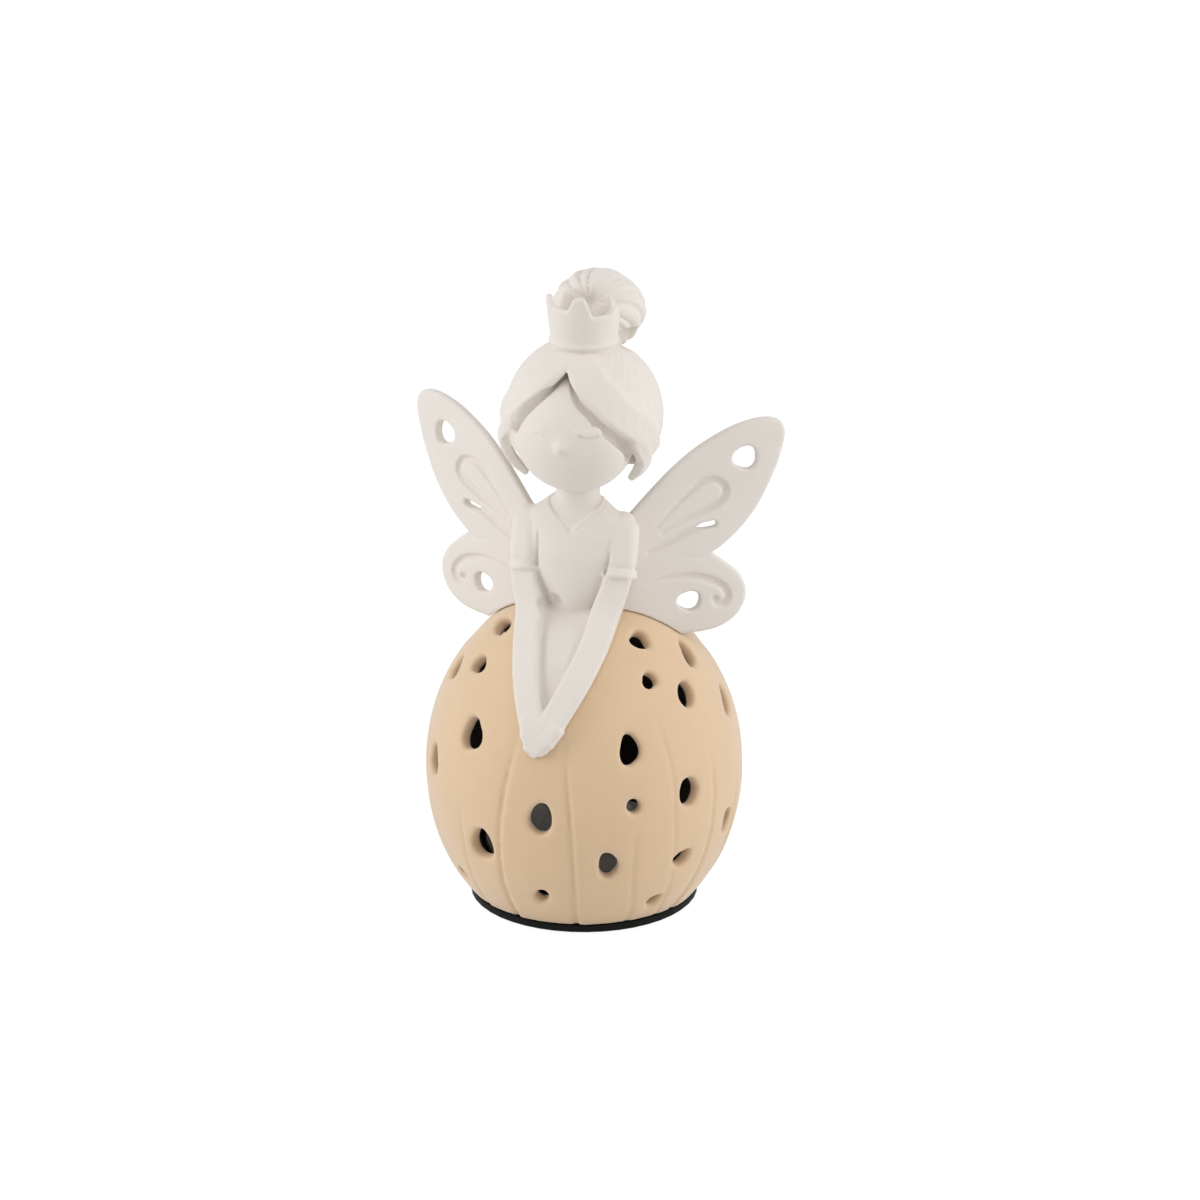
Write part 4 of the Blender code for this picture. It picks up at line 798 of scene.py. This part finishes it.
def head_clay(step, strand):
    clay = Clay((-29, -31, 137), (29, 36, 207.5), step)
    clay.add(egg(HAIR_CENTRE, (HAIR_RADIUS,) * 3), (-25, -25, 137), (25, 26, 187))
    slope = math.radians(20)

    def nape(x, y, z):
        below = (z - HAIR_CENTRE[2] + 15.5) * math.cos(slope) + (y - HAIR_CENTRE[1]) * math.sin(slope)
        return (below + 0 * x).astype(np.float32)

    clay.carve(nape, (-29, -31, 134), (29, 36, 160), 2.5)
    temple = HAIR_CENTRE + (-21.6, -3.0, -10.8)
    clay.carve(egg(temple, (3.4, 9.0, 5.2)), temple - 10, temple + 10, 1.0)
    add_fringe(clay, 1, FRINGE_RIGHT)
    add_fringe(clay, -1, FRINGE_LEFT)
    clay.press(hair_grooves(strand), (-29, -31, 137), (29, 36, 190))
    clay.carve(face_opening, (-24, -31, 130), (24, -4, 184), 0.5)
    clay.add(egg(FACE_CENTRE, FACE_AXES), (-20, -27, 139), (20, 5, 179), 0.25)
    right_sizes = [(0.6, 1.4), (0.9, 1.8), (1.3, 2.2), (1.7, 2.6), (2.0, 3.0), (1.8, 2.8)]
    add_crease(clay, 1, FRINGE_RIGHT, right_sizes, 0.8)
    add_crease(clay, -1, FRINGE_LEFT, [(0.6, 1.4), (0.8, 1.8), (0.9, 2.0), (0.9, 2.0), (0.9, 2.0)], 0.5)
    nose = FACE_CENTRE + (-0.3, -FACE_AXES[1] + 0.5, -0.4)
    clay.add(egg(nose, (1.5, 2.1, 1.5)), nose - 4, nose + 4, 3.0)
    for side, middle, half_length, deep in ((-1, 8.6, 1.0, 0.4), (1, 8.2, 2.9, 1.0)):
        path = eye_path(side, middle, half_length)
        tops = directions_from(FACE_CENTRE, path)
        low, high = reach_of(path, 3)
        lid = bar(path + tops * -1.3 + (0, 0, 1.1), [(1.5, 1.2)] * len(path), tops, 1.2)
        clay.add(lid, low - 2, high + 2, 1.4)
        slot = bar(path + tops * (0.5 - 0.3 * deep), [(0.3, 0.5)] * len(path), tops, 0.3)
        clay.carve(slot, low, high, 0.35)
    add_lock_end(clay, 1, FRINGE_RIGHT, LOCK_END_RIGHT)
    add_lock_end(clay, -1, FRINGE_LEFT, LOCK_END_LEFT)
    clay.add(bun_shape, (-17, 1, 173), (17, 36, 207), 0.3)
    clay.carve(egg((11.8, 11.5, 183.6), (6.4, 8.4, 3.3)), (2, 0, 177), (21, 23, 190), 0.8)
    clay.add(crown_shape, (-14, -14, 176), (14, 14, 206), 0.3)
    return clay


def add_crease(clay, side, edge, sizes, inset):
    """Deep crease where the face passes under the edge of the fringe."""
    points = []
    edge = np.array(edge, float)
    for i, place in enumerate(edge[1:], 1):
        x, height = place - across_edge(edge, i) * inset
        z = HAIR_CENTRE[2] + height
        inside = 1 - (x / FACE_AXES[0]) ** 2 - ((z - FACE_CENTRE[2]) / FACE_AXES[2]) ** 2
        points.append((side * x, FACE_CENTRE[1] - FACE_AXES[1] * math.sqrt(max(inside, 0.02)), z))
    path = curve_through(points, 3)
    carve_bar(clay, path, spread(sizes, len(path)), directions_from(FACE_CENTRE, path), 0.5, 5, 0.7)


def hole_shape(longitude, latitude, width, height, lean):
    """Tapered teardrop through the dome's wall, a little irregular, as pushed through soft material."""
    point, normal = dome_point(longitude, latitude)
    side = np.cross((0, 0, 1), normal)
    side /= np.linalg.norm(side)
    up = np.cross(normal, side)
    turn = math.radians(lean)
    side, up = side * math.cos(turn) + up * math.sin(turn), up * math.cos(turn) - side * math.sin(turn)
    phase = longitude * 0.37 + latitude * 0.91

    def distance(x, y, z):
        px, py, pz = x - point[0], y - point[1], z - point[2]
        u, v, deep = (dot(px, py, pz, axis) for axis in (side, up, normal))
        angle = np.arctan2(v / height, u / width)
        pinch = 1 - 0.26 * np.sin(angle) * np.abs(np.cos(angle))
        wobble = 1 + 0.05 * np.sin(2 * angle + phase) + 0.055 * np.sin(3 * angle + 2 * phase)
        scale = 0.84 + 0.10 * smooth_step(-5, 0.5, deep)
        reach = np.hypot(u / (width / 2 * pinch), v / (height / 2)) / wobble
        return ((reach - scale) * min(width, height) / 2 * 0.92).astype(np.float32)
    return point, distance


def dome_egg(wall):
    """The dome's inner wall at a thickness, or its outside at none."""
    return egg((0, 0, DOME_CENTRE), (DOME_RADIUS - wall, DOME_RADIUS - wall, DOME_HALF_HEIGHT - wall))


def dome_clay(step, wall, fold_depth, rim):
    size = DOME_RADIUS + 2
    clay = Clay((-size, -size, DOME_FOOT - 2), (size, size, 105), step)
    x, y, z = (axis.reshape(shape) for axis, shape in zip(clay.axes, ((-1, 1, 1), (1, -1, 1), (1, 1, -1))))
    outer = dome_egg(0)(x, y, z)
    near = np.nonzero(np.abs(outer) < 2.5)
    px, py, pz = (axis[index] for axis, index in zip(clay.axes, near))
    turn = np.degrees(np.arctan2(px, -py))
    rise = np.degrees(np.arcsin(np.clip((pz - DOME_CENTRE) / DOME_HALF_HEIGHT, -1, 1)))
    press = np.zeros(len(px), np.float32)
    for foot_turn, foot_rise, top_turn, top_rise, force in FOLDS:
        share = (rise - foot_rise) / (top_rise - foot_rise)
        line = foot_turn + (top_turn - foot_turn) * share
        bow = 1.5 * np.sin(np.pi * np.clip(share, 0, 1)) * (1 if foot_turn % 2 else -1)
        off = (turn - line - bow + 180) % 360 - 180
        across = np.radians(off) * DOME_RADIUS * np.cos(np.radians(rise))
        fade = smooth_step(1.06, 0.72, share) * force
        crease = np.exp(-(across / 0.75) ** 2) * fold_depth
        lip = 0.45 * fold_depth * np.where(across > 0, np.exp(-across / 5.0), -0.35 * np.exp(across / 3.5))
        press += fade * (crease - lip * (1 - np.exp(-(across / 0.8) ** 2)))
    uneven = 0.10 * np.sin(np.radians(turn) * 5 + 1) * np.cos(np.radians(rise) * 4)
    outer[near] += press + uneven.astype(np.float32) + 0.2
    mouth = np.maximum(np.hypot(x, y) - DOME_MOUTH, z - DOME_CEILING)
    hollow = np.minimum(dome_egg(wall)(x, y, z), mouth)
    clay.field = soft_cut(outer, hollow, 0.3)
    clay.field = np.maximum(clay.field, DOME_FOOT - z).astype(np.float32)
    for hole in FRONT_HOLES + BACK_HOLES:
        point, shape = hole_shape(*hole)
        half = max(hole[2], hole[3]) / 2 + 5
        clay.carve(shape, point - half, point + half, rim)
    return clay


def thin_inside(obj, wall, ratio):
    """Joins small faces on the dome's inner wall, which lies in shade, and leaves the outside whole."""
    mesh = obj.data
    count = len(mesh.vertices)
    places = np.empty(count * 3, np.float32)
    mesh.vertices.foreach_get("co", places)
    places = places.reshape(-1, 3) / MM
    near = np.abs(dome_egg(wall)(places[:, 0], places[:, 1], places[:, 2])) < 0.12
    bpy.context.view_layer.objects.active = obj
    bpy.ops.object.mode_set(mode="EDIT")
    bpy.ops.mesh.select_mode(type="VERT")
    bpy.ops.mesh.select_all(action="DESELECT")
    bpy.ops.object.mode_set(mode="OBJECT")
    mesh.vertices.foreach_set("select", near)
    bpy.ops.object.mode_set(mode="EDIT")
    bpy.ops.mesh.decimate(ratio=ratio)
    bpy.ops.object.mode_set(mode="OBJECT")
    mesh.shade_smooth()


def linear(hex_colour):
    """Linear colour from an sRGB hex value."""
    shares = []
    for start in (0, 2, 4):
        share = int(hex_colour[start:start + 2], 16) / 255
        shares.append(share / 12.92 if share <= 0.04045 else ((share + 0.055) / 1.055) ** 2.4)
    return (*shares, 1.0)


def link(owner, source, made, key):
    """Links a source, given as (node, socket), to a node's input."""
    owner.node_tree.links.new(source[0].outputs[source[1]], made.inputs[key])


def node(owner, kind, settings=None, links=None):
    """Adds a node with its settings, and links that run from (node, socket) to its inputs."""
    made = owner.node_tree.nodes.new(kind)
    for key, value in (settings or {}).items():
        if isinstance(key, int) or key in made.inputs:
            made.inputs[key].default_value = value
        else:
            setattr(made, key, value)
    for key, source in (links or {}).items():
        link(owner, source, made, key)
    return made


def finish(name, colour, roughness, ior=1.46, metallic=0.0, specular=0.5):
    """Principled material with its plain values, and its shader."""
    material = bpy.data.materials.new(name)
    material.use_nodes = True
    shader = material.node_tree.nodes["Principled BSDF"]
    shader.inputs["Base Color"].default_value = colour
    shader.inputs["Roughness"].default_value = roughness
    shader.inputs["Metallic"].default_value = metallic
    shader.inputs["Specular IOR Level"].default_value = specular
    if not metallic:
        shader.inputs["IOR"].default_value = ior
    material.diffuse_color = colour
    return material, shader


def shade(colour, share):
    return tuple(min(1.0, value * share) for value in colour[:3]) + (1.0,)


def painted_inside_shade(material, place, colour, wall, outside):
    """Painted shade on the inside of the dome's shell: its colour drops well below the rubbed outside's,
    standing in for the unlit dark in there.
    """
    centred = node(material, "ShaderNodeVectorMath",
                   {"operation": "SUBTRACT", 1: (0, 0, DOME_CENTRE * MM)}, {0: place})
    axes = (DOME_RADIUS * MM, DOME_RADIUS * MM, DOME_HALF_HEIGHT * MM)
    scaled = node(material, "ShaderNodeVectorMath", {"operation": "DIVIDE", 1: axes},
                  {0: (centred, "Vector")})
    reach = node(material, "ShaderNodeVectorMath", {"operation": "LENGTH"}, {0: (scaled, "Vector")})
    # The painted shade is full at the inner wall and fades out 1.2 mm into it.
    span = {"From Min": 1 - (wall - 0.1) / DOME_RADIUS, "From Max": 1 - (wall - 1.2) / DOME_RADIUS}
    inside = node(material, "ShaderNodeMapRange", span, {"Value": (reach, "Value")})
    return node(material, "ShaderNodeMix", {"data_type": "RGBA", "A": shade(colour, 0.06)},
                {"Factor": (inside, "Result"), "B": outside})


def cast_matte(name, colour, spread_share, grain, layers, bloom, wall=0.0):
    """Matte filled resin, cast and hand-finished: even and chalky, with a fine tooth and soft patches."""
    material, shader = finish(name, colour, 0.78, ior=1.5, specular=0.35)
    shader.inputs["Sheen Weight"].default_value = bloom
    shader.inputs["Sheen Roughness"].default_value = 0.45
    place = (node(material, "ShaderNodeTexCoord"), "Object")
    # Patches about 9 mm wide, where the rubbed surface takes the light a little differently.
    patches = node(material, "ShaderNodeTexNoise", {"Scale": 110.0, "Detail": 3.0, "Roughness": 0.55},
                   {"Vector": place})
    tones = {"A": shade(colour, 1 - spread_share), "B": shade(colour, 1 + spread_share)}
    mix = node(material, "ShaderNodeMix", {"data_type": "RGBA", **tones}, {"Factor": (patches, "Fac")})
    # Painted shade: the dome's inner wall gets 6 % of the colour, for the dark inside the shell.
    if wall:
        mix = painted_inside_shade(material, place, colour, wall, (mix, "Result"))
    link(material, (mix, "Result"), shader, "Base Color")
    rough = node(material, "ShaderNodeMapRange", {"To Min": 0.72, "To Max": 0.86},
                 {"Value": (patches, "Fac")})
    link(material, (rough, "Result"), shader, "Roughness")
    # Chalk grain is about 0.1 mm across, drawn at 0.5 mm so that it shows.
    tooth = node(material, "ShaderNodeTexNoise", {"Scale": 2000.0, "Detail": 4.0, "Roughness": 0.7},
                 {"Vector": place})
    bump = node(material, "ShaderNodeBump", {"Strength": grain, "Distance": 0.00008},
                {"Height": (tooth, "Fac")})
    # Slight hand-rubbed waves, 4 mm apart.
    waves = node(material, "ShaderNodeTexNoise", {"Scale": 260.0, "Detail": 2.0}, {"Vector": place})
    bump = node(material, "ShaderNodeBump", {"Strength": 0.25, "Distance": 0.0003},
                {"Height": (waves, "Fac"), "Normal": (bump, "Normal")})
    if layers:
        # Fine level drag lines from wiping the skirt, drawn 1.4 mm apart and broken up along their length.
        flat = node(material, "ShaderNodeMapping", {"Scale": (22.0, 22.0, 700.0)}, {"Vector": place})
        drag = node(material, "ShaderNodeTexNoise", {"Scale": 1.0, "Detail": 3.0, "Roughness": 0.6},
                    {"Vector": (flat, "Vector")})
        bump = node(material, "ShaderNodeBump", {"Strength": layers, "Distance": 0.00025},
                    {"Height": (drag, "Fac"), "Normal": (bump, "Normal")})
    link(material, (bump, "Normal"), shader, "Normal")
    return material


def moulded_black(name, colour):
    """ABS, injection moulded with a fine spark-eroded texture: near black with a soft, broken sheen."""
    material, shader = finish(name, colour, 0.6, ior=1.54, specular=0.10)
    place = (node(material, "ShaderNodeTexCoord"), "Object")
    # Spark texture of about 0.3 mm pits.
    pits = node(material, "ShaderNodeTexNoise", {"Scale": 3200.0, "Detail": 2.0}, {"Vector": place})
    rough = node(material, "ShaderNodeMapRange", {"To Min": 0.52, "To Max": 0.68}, {"Value": (pits, "Fac")})
    link(material, (rough, "Result"), shader, "Roughness")
    bump = node(material, "ShaderNodeBump", {"Strength": 0.35, "Distance": 0.00006},
                {"Height": (pits, "Fac")})
    link(material, (bump, "Normal"), shader, "Normal")
    return material


def moulded_white(name, colour, frosted):
    """Polypropylene or frosted polycarbonate, moulded: pale, smooth and faintly waxy."""
    material, shader = finish(name, colour, 0.5 if frosted else 0.38, ior=1.49)
    place = (node(material, "ShaderNodeTexCoord"), "Object")
    # Flow of the melt, about 2.5 mm wide, which breaks up the highlight.
    flow = node(material, "ShaderNodeTexNoise", {"Scale": 400.0, "Detail": 2.0}, {"Vector": place})
    limits = {"To Min": 0.42, "To Max": 0.58} if frosted else {"To Min": 0.32, "To Max": 0.46}
    rough = node(material, "ShaderNodeMapRange", limits, {"Value": (flow, "Fac")})
    link(material, (rough, "Result"), shader, "Roughness")
    if frosted:
        shader.inputs["Subsurface Weight"].default_value = 0.3
        shader.inputs["Subsurface Radius"].default_value = (0.002, 0.002, 0.0015)
    bump = node(material, "ShaderNodeBump", {"Strength": 0.15, "Distance": 0.0001},
                {"Height": (flow, "Fac")})
    link(material, (bump, "Normal"), shader, "Normal")
    return material


def board_laminate(name, colour):
    """Glass-cloth laminate under green solder mask: glossy, with a faint weave."""
    material, shader = finish(name, colour, 0.3, ior=1.52)
    place = (node(material, "ShaderNodeTexCoord"), "Object")
    # Glass cloth with threads 0.5 mm apart.
    tones = {"Color1": shade(colour, 0.85), "Color2": shade(colour, 1.1)}
    weave = node(material, "ShaderNodeTexChecker", {"Scale": 2000.0, **tones}, {"Vector": place})
    link(material, (weave, "Color"), shader, "Base Color")
    bump = node(material, "ShaderNodeBump", {"Strength": 0.2, "Distance": 0.00005},
                {"Height": (weave, "Fac")})
    link(material, (bump, "Normal"), shader, "Normal")
    return material


def plated_steel(name, colour, roughness):
    """Nickel-plated steel, pressed or turned: bright, with fine drawn lines."""
    material, shader = finish(name, colour, roughness, metallic=1.0)
    place = (node(material, "ShaderNodeTexCoord"), "Object")
    stretch = node(material, "ShaderNodeMapping", {"Scale": (1.0, 1.0, 12.0)}, {"Vector": place})
    # Drawing lines about 0.1 mm apart and a millimetre long.
    lines = node(material, "ShaderNodeTexNoise", {"Scale": 900.0, "Detail": 2.0},
                 {"Vector": (stretch, "Vector")})
    limits = {"To Min": roughness * 0.8, "To Max": roughness * 1.35}
    rough = node(material, "ShaderNodeMapRange", limits, {"Value": (lines, "Fac")})
    link(material, (rough, "Result"), shader, "Roughness")
    return material


def glossy_skin(name, colour, roughness, coat):
    """Thin plastic skin, shrunk or extruded: even colour under a clear gloss with slight ripples."""
    material, shader = finish(name, colour, roughness, ior=1.5)
    shader.inputs["Coat Weight"].default_value = coat
    shader.inputs["Coat Roughness"].default_value = 0.15
    place = (node(material, "ShaderNodeTexCoord"), "Object")
    # Ripples 2 mm apart, which bend the highlight.
    ripple = node(material, "ShaderNodeTexNoise", {"Scale": 500.0, "Detail": 1.0}, {"Vector": place})
    bump = node(material, "ShaderNodeBump", {"Strength": 0.12, "Distance": 0.0001},
                {"Height": (ripple, "Fac")})
    link(material, (bump, "Normal"), shader, "Normal")
    return material


def dress(names, material):
    """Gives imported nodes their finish."""
    for name in names:
        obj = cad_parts[name]
        obj.data.materials.clear()
        obj.data.materials.append(material)


def colour_property(name, description, hex_colour):
    return FloatVectorProperty(name=name, description=description, subtype="COLOR", size=4, min=0, max=1,
                               default=linear(hex_colour))


def length_property(name, description, default, low, high):
    return FloatProperty(name=name, description=description, default=default, min=low, max=high,
                         unit="LENGTH", subtype="DISTANCE", precision=5)


class NightLightFigureSettings(bpy.types.PropertyGroup):
    colour: colour_property("Colour", "Colour of the cast fairy figure", "E4DDD6")
    head_detail: length_property("Head detail", "Size of the smallest form on the head",
                                 0.00046, 0.0003, 0.002)
    body_detail: length_property("Body detail", "Size of the smallest form on body and wings",
                                 0.00052, 0.0003, 0.002)
    strand_depth: length_property("Strand depth", "Depth of the hair's strands", 0.00010, 0, 0.0005)
    groove_radius: length_property("Wing groove", "Half width of the grooves in the wings",
                                   0.00125, 0, 0.002)


class NightLightDomeSettings(bpy.types.PropertyGroup):
    colour: colour_property("Colour", "Colour of the pierced dome", "DCBF9D")
    detail: length_property("Detail", "Size of the smallest form on the dome", 0.00078, 0.0004, 0.003)
    wall: length_property("Wall", "Thickness of the dome's wall", 0.0045, 0.002, 0.008)
    fold_depth: length_property("Fold depth", "Depth of the folds in the skirt", 0.0010, 0, 0.002)
    rim: length_property("Hole rim", "How softly the holes' edges are rounded", 0.0013, 0.0002, 0.003)


class NightLightBaseSettings(bpy.types.PropertyGroup):
    colour: colour_property("Colour", "Colour of the base", "0E0F0E")
    cell_colour: colour_property("Cell colour", "Colour of the cells' wrap", "3C4048")
    board_colour: colour_property("Board colour", "Colour of the circuit board", "2F5D44")


def angle_property(name, description, degrees):
    return FloatProperty(name=name, description=description, subtype="ANGLE", default=math.radians(degrees))


def power_property(name, description, default):
    return FloatProperty(name=name, description=description, unit="POWER", default=default)


class NightLightStageSettings(bpy.types.PropertyGroup):
    azimuth: angle_property("Azimuth", "Camera's turn round the lamp", 14.79)
    elevation: angle_property("Elevation", "Camera's height angle", 20.19)
    distance: length_property("Distance", "Camera's distance from its target", 1.7, 0.5, 5)
    side_power: power_property("Side power", "Power of each side lamp", 7.8)
    top_power: power_property("Top power", "Power of the lamp above", 2.6)
    front_power: power_property("Front power", "Power of the front lamp", 1.2)
    world: FloatProperty(name="World light", description="Strength of the even light from all sides",
                         default=0.50)


class NightLightDome(bpy.types.Operator):
    """Shapes the pierced dome with its folds and teardrop holes"""
    bl_idname = "nightlight.dome"
    bl_label = "Pierced dome"

    def execute(self, context):
        settings = context.scene.night_light_dome
        wall = settings.wall / MM
        clay = dome_clay(settings.detail / MM, wall, settings.fold_depth / MM, settings.rim / MM)
        points, quads = skin(clay)
        # The wall's thickness also sets where painted shade darkens the dome's inside.
        material = cast_matte("Tan resin, cast and wiped matte", tuple(settings.colour),
                              spread_share=0.03, grain=0.5, layers=0.4, bloom=0.6, wall=wall)
        obj = mesh_object("pierced_dome", points, quads, material)
        thin_inside(obj, wall, 0.22)
        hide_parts("lantern_dome")
        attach(obj, "lamp")
        return {"FINISHED"}


class NightLightHead(bpy.types.Operator):
    """Shapes the fairy's head with hair, fringe, crown and bun"""
    bl_idname = "nightlight.head"
    bl_label = "Head and crown"

    def execute(self, context):
        settings = context.scene.night_light_figure
        points, quads = skin(head_clay(settings.head_detail / MM, settings.strand_depth / MM))
        material = bpy.data.materials.get("Bone resin, cast and rubbed matte")
        obj = mesh_object("figure_head", points, quads, material)
        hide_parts("fairy_figure")
        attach(obj, "lamp")
        return {"FINISHED"}


class NightLightBody(bpy.types.Operator):
    """Shapes the fairy's body, arms and wings as one casting"""
    bl_idname = "nightlight.body"
    bl_label = "Body and wings"

    def execute(self, context):
        settings = context.scene.night_light_figure
        points, quads = skin(body_clay(settings.body_detail / MM, settings.groove_radius / MM))
        material = cast_matte("Bone resin, cast and rubbed matte", tuple(settings.colour),
                              spread_share=0.02, grain=0.45, layers=0, bloom=0.3)
        obj = mesh_object("figure_body", points, quads, material)
        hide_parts("fairy_figure")
        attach(obj, "lamp")
        return {"FINISHED"}


class NightLightBase(bpy.types.Operator):
    """Gives the base, its door, switch and inner parts their finishes"""
    bl_idname = "nightlight.base"
    bl_label = "Base finishes"

    def execute(self, context):
        settings = context.scene.night_light_base
        cells = [f"battery_{number}" for number in (1, 2, 3)]
        lights = [f"led_{number}" for number in (1, 2, 3)]
        contacts = ("contact_minus", "contact_bridge_a", "contact_bridge_b", "contact_plus")
        screws = ("deck_screw_1", "deck_screw_2", "deck_screw_3", "door_screw")
        black = moulded_black("Black ABS, spark-textured", tuple(settings.colour))
        dress(("base_housing", "battery_door"), black)
        dress(("switch_body",), moulded_black("Black nylon, moulded", linear("1C1C1E")))
        white = moulded_white("White polypropylene, moulded", linear("E6E4DF"), False)
        dress(("switch_slider", "light_deck"), white)
        dress(("light_diffuser",), moulded_white("Polycarbonate, frosted", linear("F1EFE9"), True))
        board = board_laminate("Solder mask on glass laminate", tuple(settings.board_colour))
        dress(("circuit_board",), board)
        dress(lights, glossy_skin("Silicone, amber, poured", linear("E9C75C"), 0.25, 0.4))
        dress(cells, glossy_skin("Vinyl wrap, shrunk on", tuple(settings.cell_colour), 0.35, 0.5))
        dress(contacts, plated_steel("Spring steel, nickel-plated", linear("B9BABB"), 0.28))
        dress(screws, plated_steel("Screw steel, zinc-plated", linear("C3C4C2"), 0.33))
        dress(("wire_plus", "wire_switched"), glossy_skin("Red PVC, extruded", linear("A8322B"), 0.45, 0.1))
        dress(("wire_minus",), glossy_skin("Black PVC, extruded", linear("1E1E20"), 0.45, 0.1))
        return {"FINISHED"}


class NightLightStage(bpy.types.Operator):
    """Sets the pale floor, the soft studio light and the camera"""
    bl_idname = "nightlight.stage"
    bl_label = "Studio"

    def execute(self, context):
        settings = context.scene.night_light_stage
        target = Vector(LOOK_AT) * MM
        place_camera(settings, target)
        floor_object()
        studio_world(settings.world)
        turn = Matrix.Rotation(settings.azimuth, 3, "Z")
        # Name, place from the target as the camera sees it, width and power of each lamp.
        lamps = (
            ("left softbox", (-1.20, -0.20, 0.45), 1.1, settings.side_power),
            ("right softbox", (1.20, -0.20, 0.45), 1.1, settings.side_power),
            ("top softbox", (0, -0.35, 1.25), 1.0, settings.top_power),
            ("front softbox", (0.15, -1.50, 0.75), 0.9, settings.front_power),
        )
        for name, place, size, power in lamps:
            soft_lamp(name, target + turn @ Vector(place), target, size, power)
        context.scene.view_settings.view_transform = "Standard"
        return {"FINISHED"}


def place_camera(settings, target):
    azimuth, elevation = settings.azimuth, settings.elevation
    back = Vector((math.sin(azimuth) * math.cos(elevation), -math.cos(azimuth) * math.cos(elevation),
                   math.sin(elevation)))
    data = bpy.data.cameras.new("camera")
    camera = bpy.data.objects.new("camera", data)
    bpy.context.scene.collection.objects.link(camera)
    camera.location = target + back * settings.distance
    camera.rotation_euler = back.to_track_quat("Z", "Y").to_euler()
    data.sensor_width = SENSOR_WIDTH
    data.lens = SENSOR_WIDTH * LENS_PIXELS / PHOTO_PIXELS
    data.clip_end = 20.0
    bpy.context.scene.camera = camera


def soft_lamp(name, place, target, size, power):
    data = bpy.data.lights.new(name, "AREA")
    data.shape = "DISK"
    data.size = size
    data.energy = power
    lamp = bpy.data.objects.new(name, data)
    bpy.context.scene.collection.objects.link(lamp)
    lamp.location = place
    lamp.rotation_euler = (place - target).to_track_quat("Z", "Y").to_euler()


def seen_by(owner, rays):
    """One where any of the named kinds of ray looks, and nought elsewhere."""
    paths = node(owner, "ShaderNodeLightPath")
    total = (paths, rays[0])
    for ray in rays[1:]:
        total = node(owner, "ShaderNodeMath", {"operation": "ADD", "use_clamp": True},
                     {0: total, 1: (paths, ray)}), "Value"
    return total


def floor_object():
    """Broad pale floor that the camera sees as white but for the lamp's shadow."""
    bm = bmesh.new()
    centre = bm.verts.new((0, 0, FLOOR_HEIGHT))
    ring = [bm.verts.new((FLOOR_RADIUS * math.cos(angle), FLOOR_RADIUS * math.sin(angle), FLOOR_HEIGHT))
            for angle in (2 * math.pi * k / FLOOR_SIDES for k in range(FLOOR_SIDES))]
    for one, other in zip(ring, ring[1:] + ring[:1]):
        bm.faces.new((centre, one, other))
    mesh = bpy.data.meshes.new("floor")
    bm.to_mesh(mesh)
    bm.free()
    floor = bpy.data.objects.new("floor", mesh)
    bpy.context.scene.collection.objects.link(floor)
    material, shader = finish("Studio paper, matte", linear("EAEAE8"), 0.9)
    glow = node(material, "ShaderNodeEmission", {"Strength": 1.15, "Color": (1, 1, 1, 1)})
    seen = seen_by(material, ("Is Camera Ray", "Is Glossy Ray", "Is Transmission Ray"))
    share = node(material, "ShaderNodeMath", {"operation": "MULTIPLY", 1: 0.80}, {0: seen})
    mix = node(material, "ShaderNodeMixShader", {},
               {0: (share, "Value"), 1: (shader, "BSDF"), 2: (glow, "Emission")})
    link(material, (mix, "Shader"), material.node_tree.nodes["Material Output"], "Surface")
    mesh.materials.append(material)


def studio_world(strength):
    """Even white light from all sides, and a white surround wherever it is seen."""
    world = bpy.data.worlds.new("studio")
    world.use_nodes = True
    light = world.node_tree.nodes["Background"]
    light.inputs["Color"].default_value = (1, 1, 1, 1)
    light.inputs["Strength"].default_value = strength
    surround = node(world, "ShaderNodeBackground", {"Color": (1, 1, 1, 1), "Strength": 1.0})
    seen = seen_by(world, ("Is Camera Ray", "Is Glossy Ray"))
    mix = node(world, "ShaderNodeMixShader", {},
               {0: seen, 1: (light, "Background"), 2: (surround, "Background")})
    link(world, (mix, "Shader"), world.node_tree.nodes["World Output"], "Surface")
    bpy.context.scene.world = world


class NightLightPanel(bpy.types.Panel):
    """Sizes, colours and steps of the night light"""
    bl_idname = "VIEW3D_PT_night_light"
    bl_label = "Night Light"
    bl_space_type = "VIEW_3D"
    bl_region_type = "UI"
    bl_category = "Night Light"

    def draw(self, context):
        layout = self.layout
        for name in GROUPS:
            group = getattr(context.scene, name)
            box = layout.box()
            for key in group.bl_rna.properties.keys():
                if key not in ("rna_type", "name"):
                    box.prop(group, key)
        for operator in OPERATORS:
            layout.operator(operator.bl_idname, text=operator.bl_label)


GROUPS = {
    "night_light_dome": NightLightDomeSettings,
    "night_light_figure": NightLightFigureSettings,
    "night_light_base": NightLightBaseSettings,
    "night_light_stage": NightLightStageSettings,
}
OPERATORS = (NightLightDome, NightLightBody, NightLightHead, NightLightBase, NightLightStage)


def register():
    for name, group in GROUPS.items():
        bpy.utils.register_class(group)
        setattr(bpy.types.Scene, name, PointerProperty(type=group))
    for cls in OPERATORS + (NightLightPanel,):
        bpy.utils.register_class(cls)


def unregister():
    for cls in reversed(OPERATORS + (NightLightPanel,)):
        bpy.utils.unregister_class(cls)
    for name, group in reversed(GROUPS.items()):
        delattr(bpy.types.Scene, name)
        bpy.utils.unregister_class(group)


def main():
    register()
    bpy.ops.nightlight.dome()
    bpy.ops.nightlight.body()
    bpy.ops.nightlight.head()
    bpy.ops.nightlight.base()
    bpy.ops.nightlight.stage()


if __name__ == "__main__":
    main()
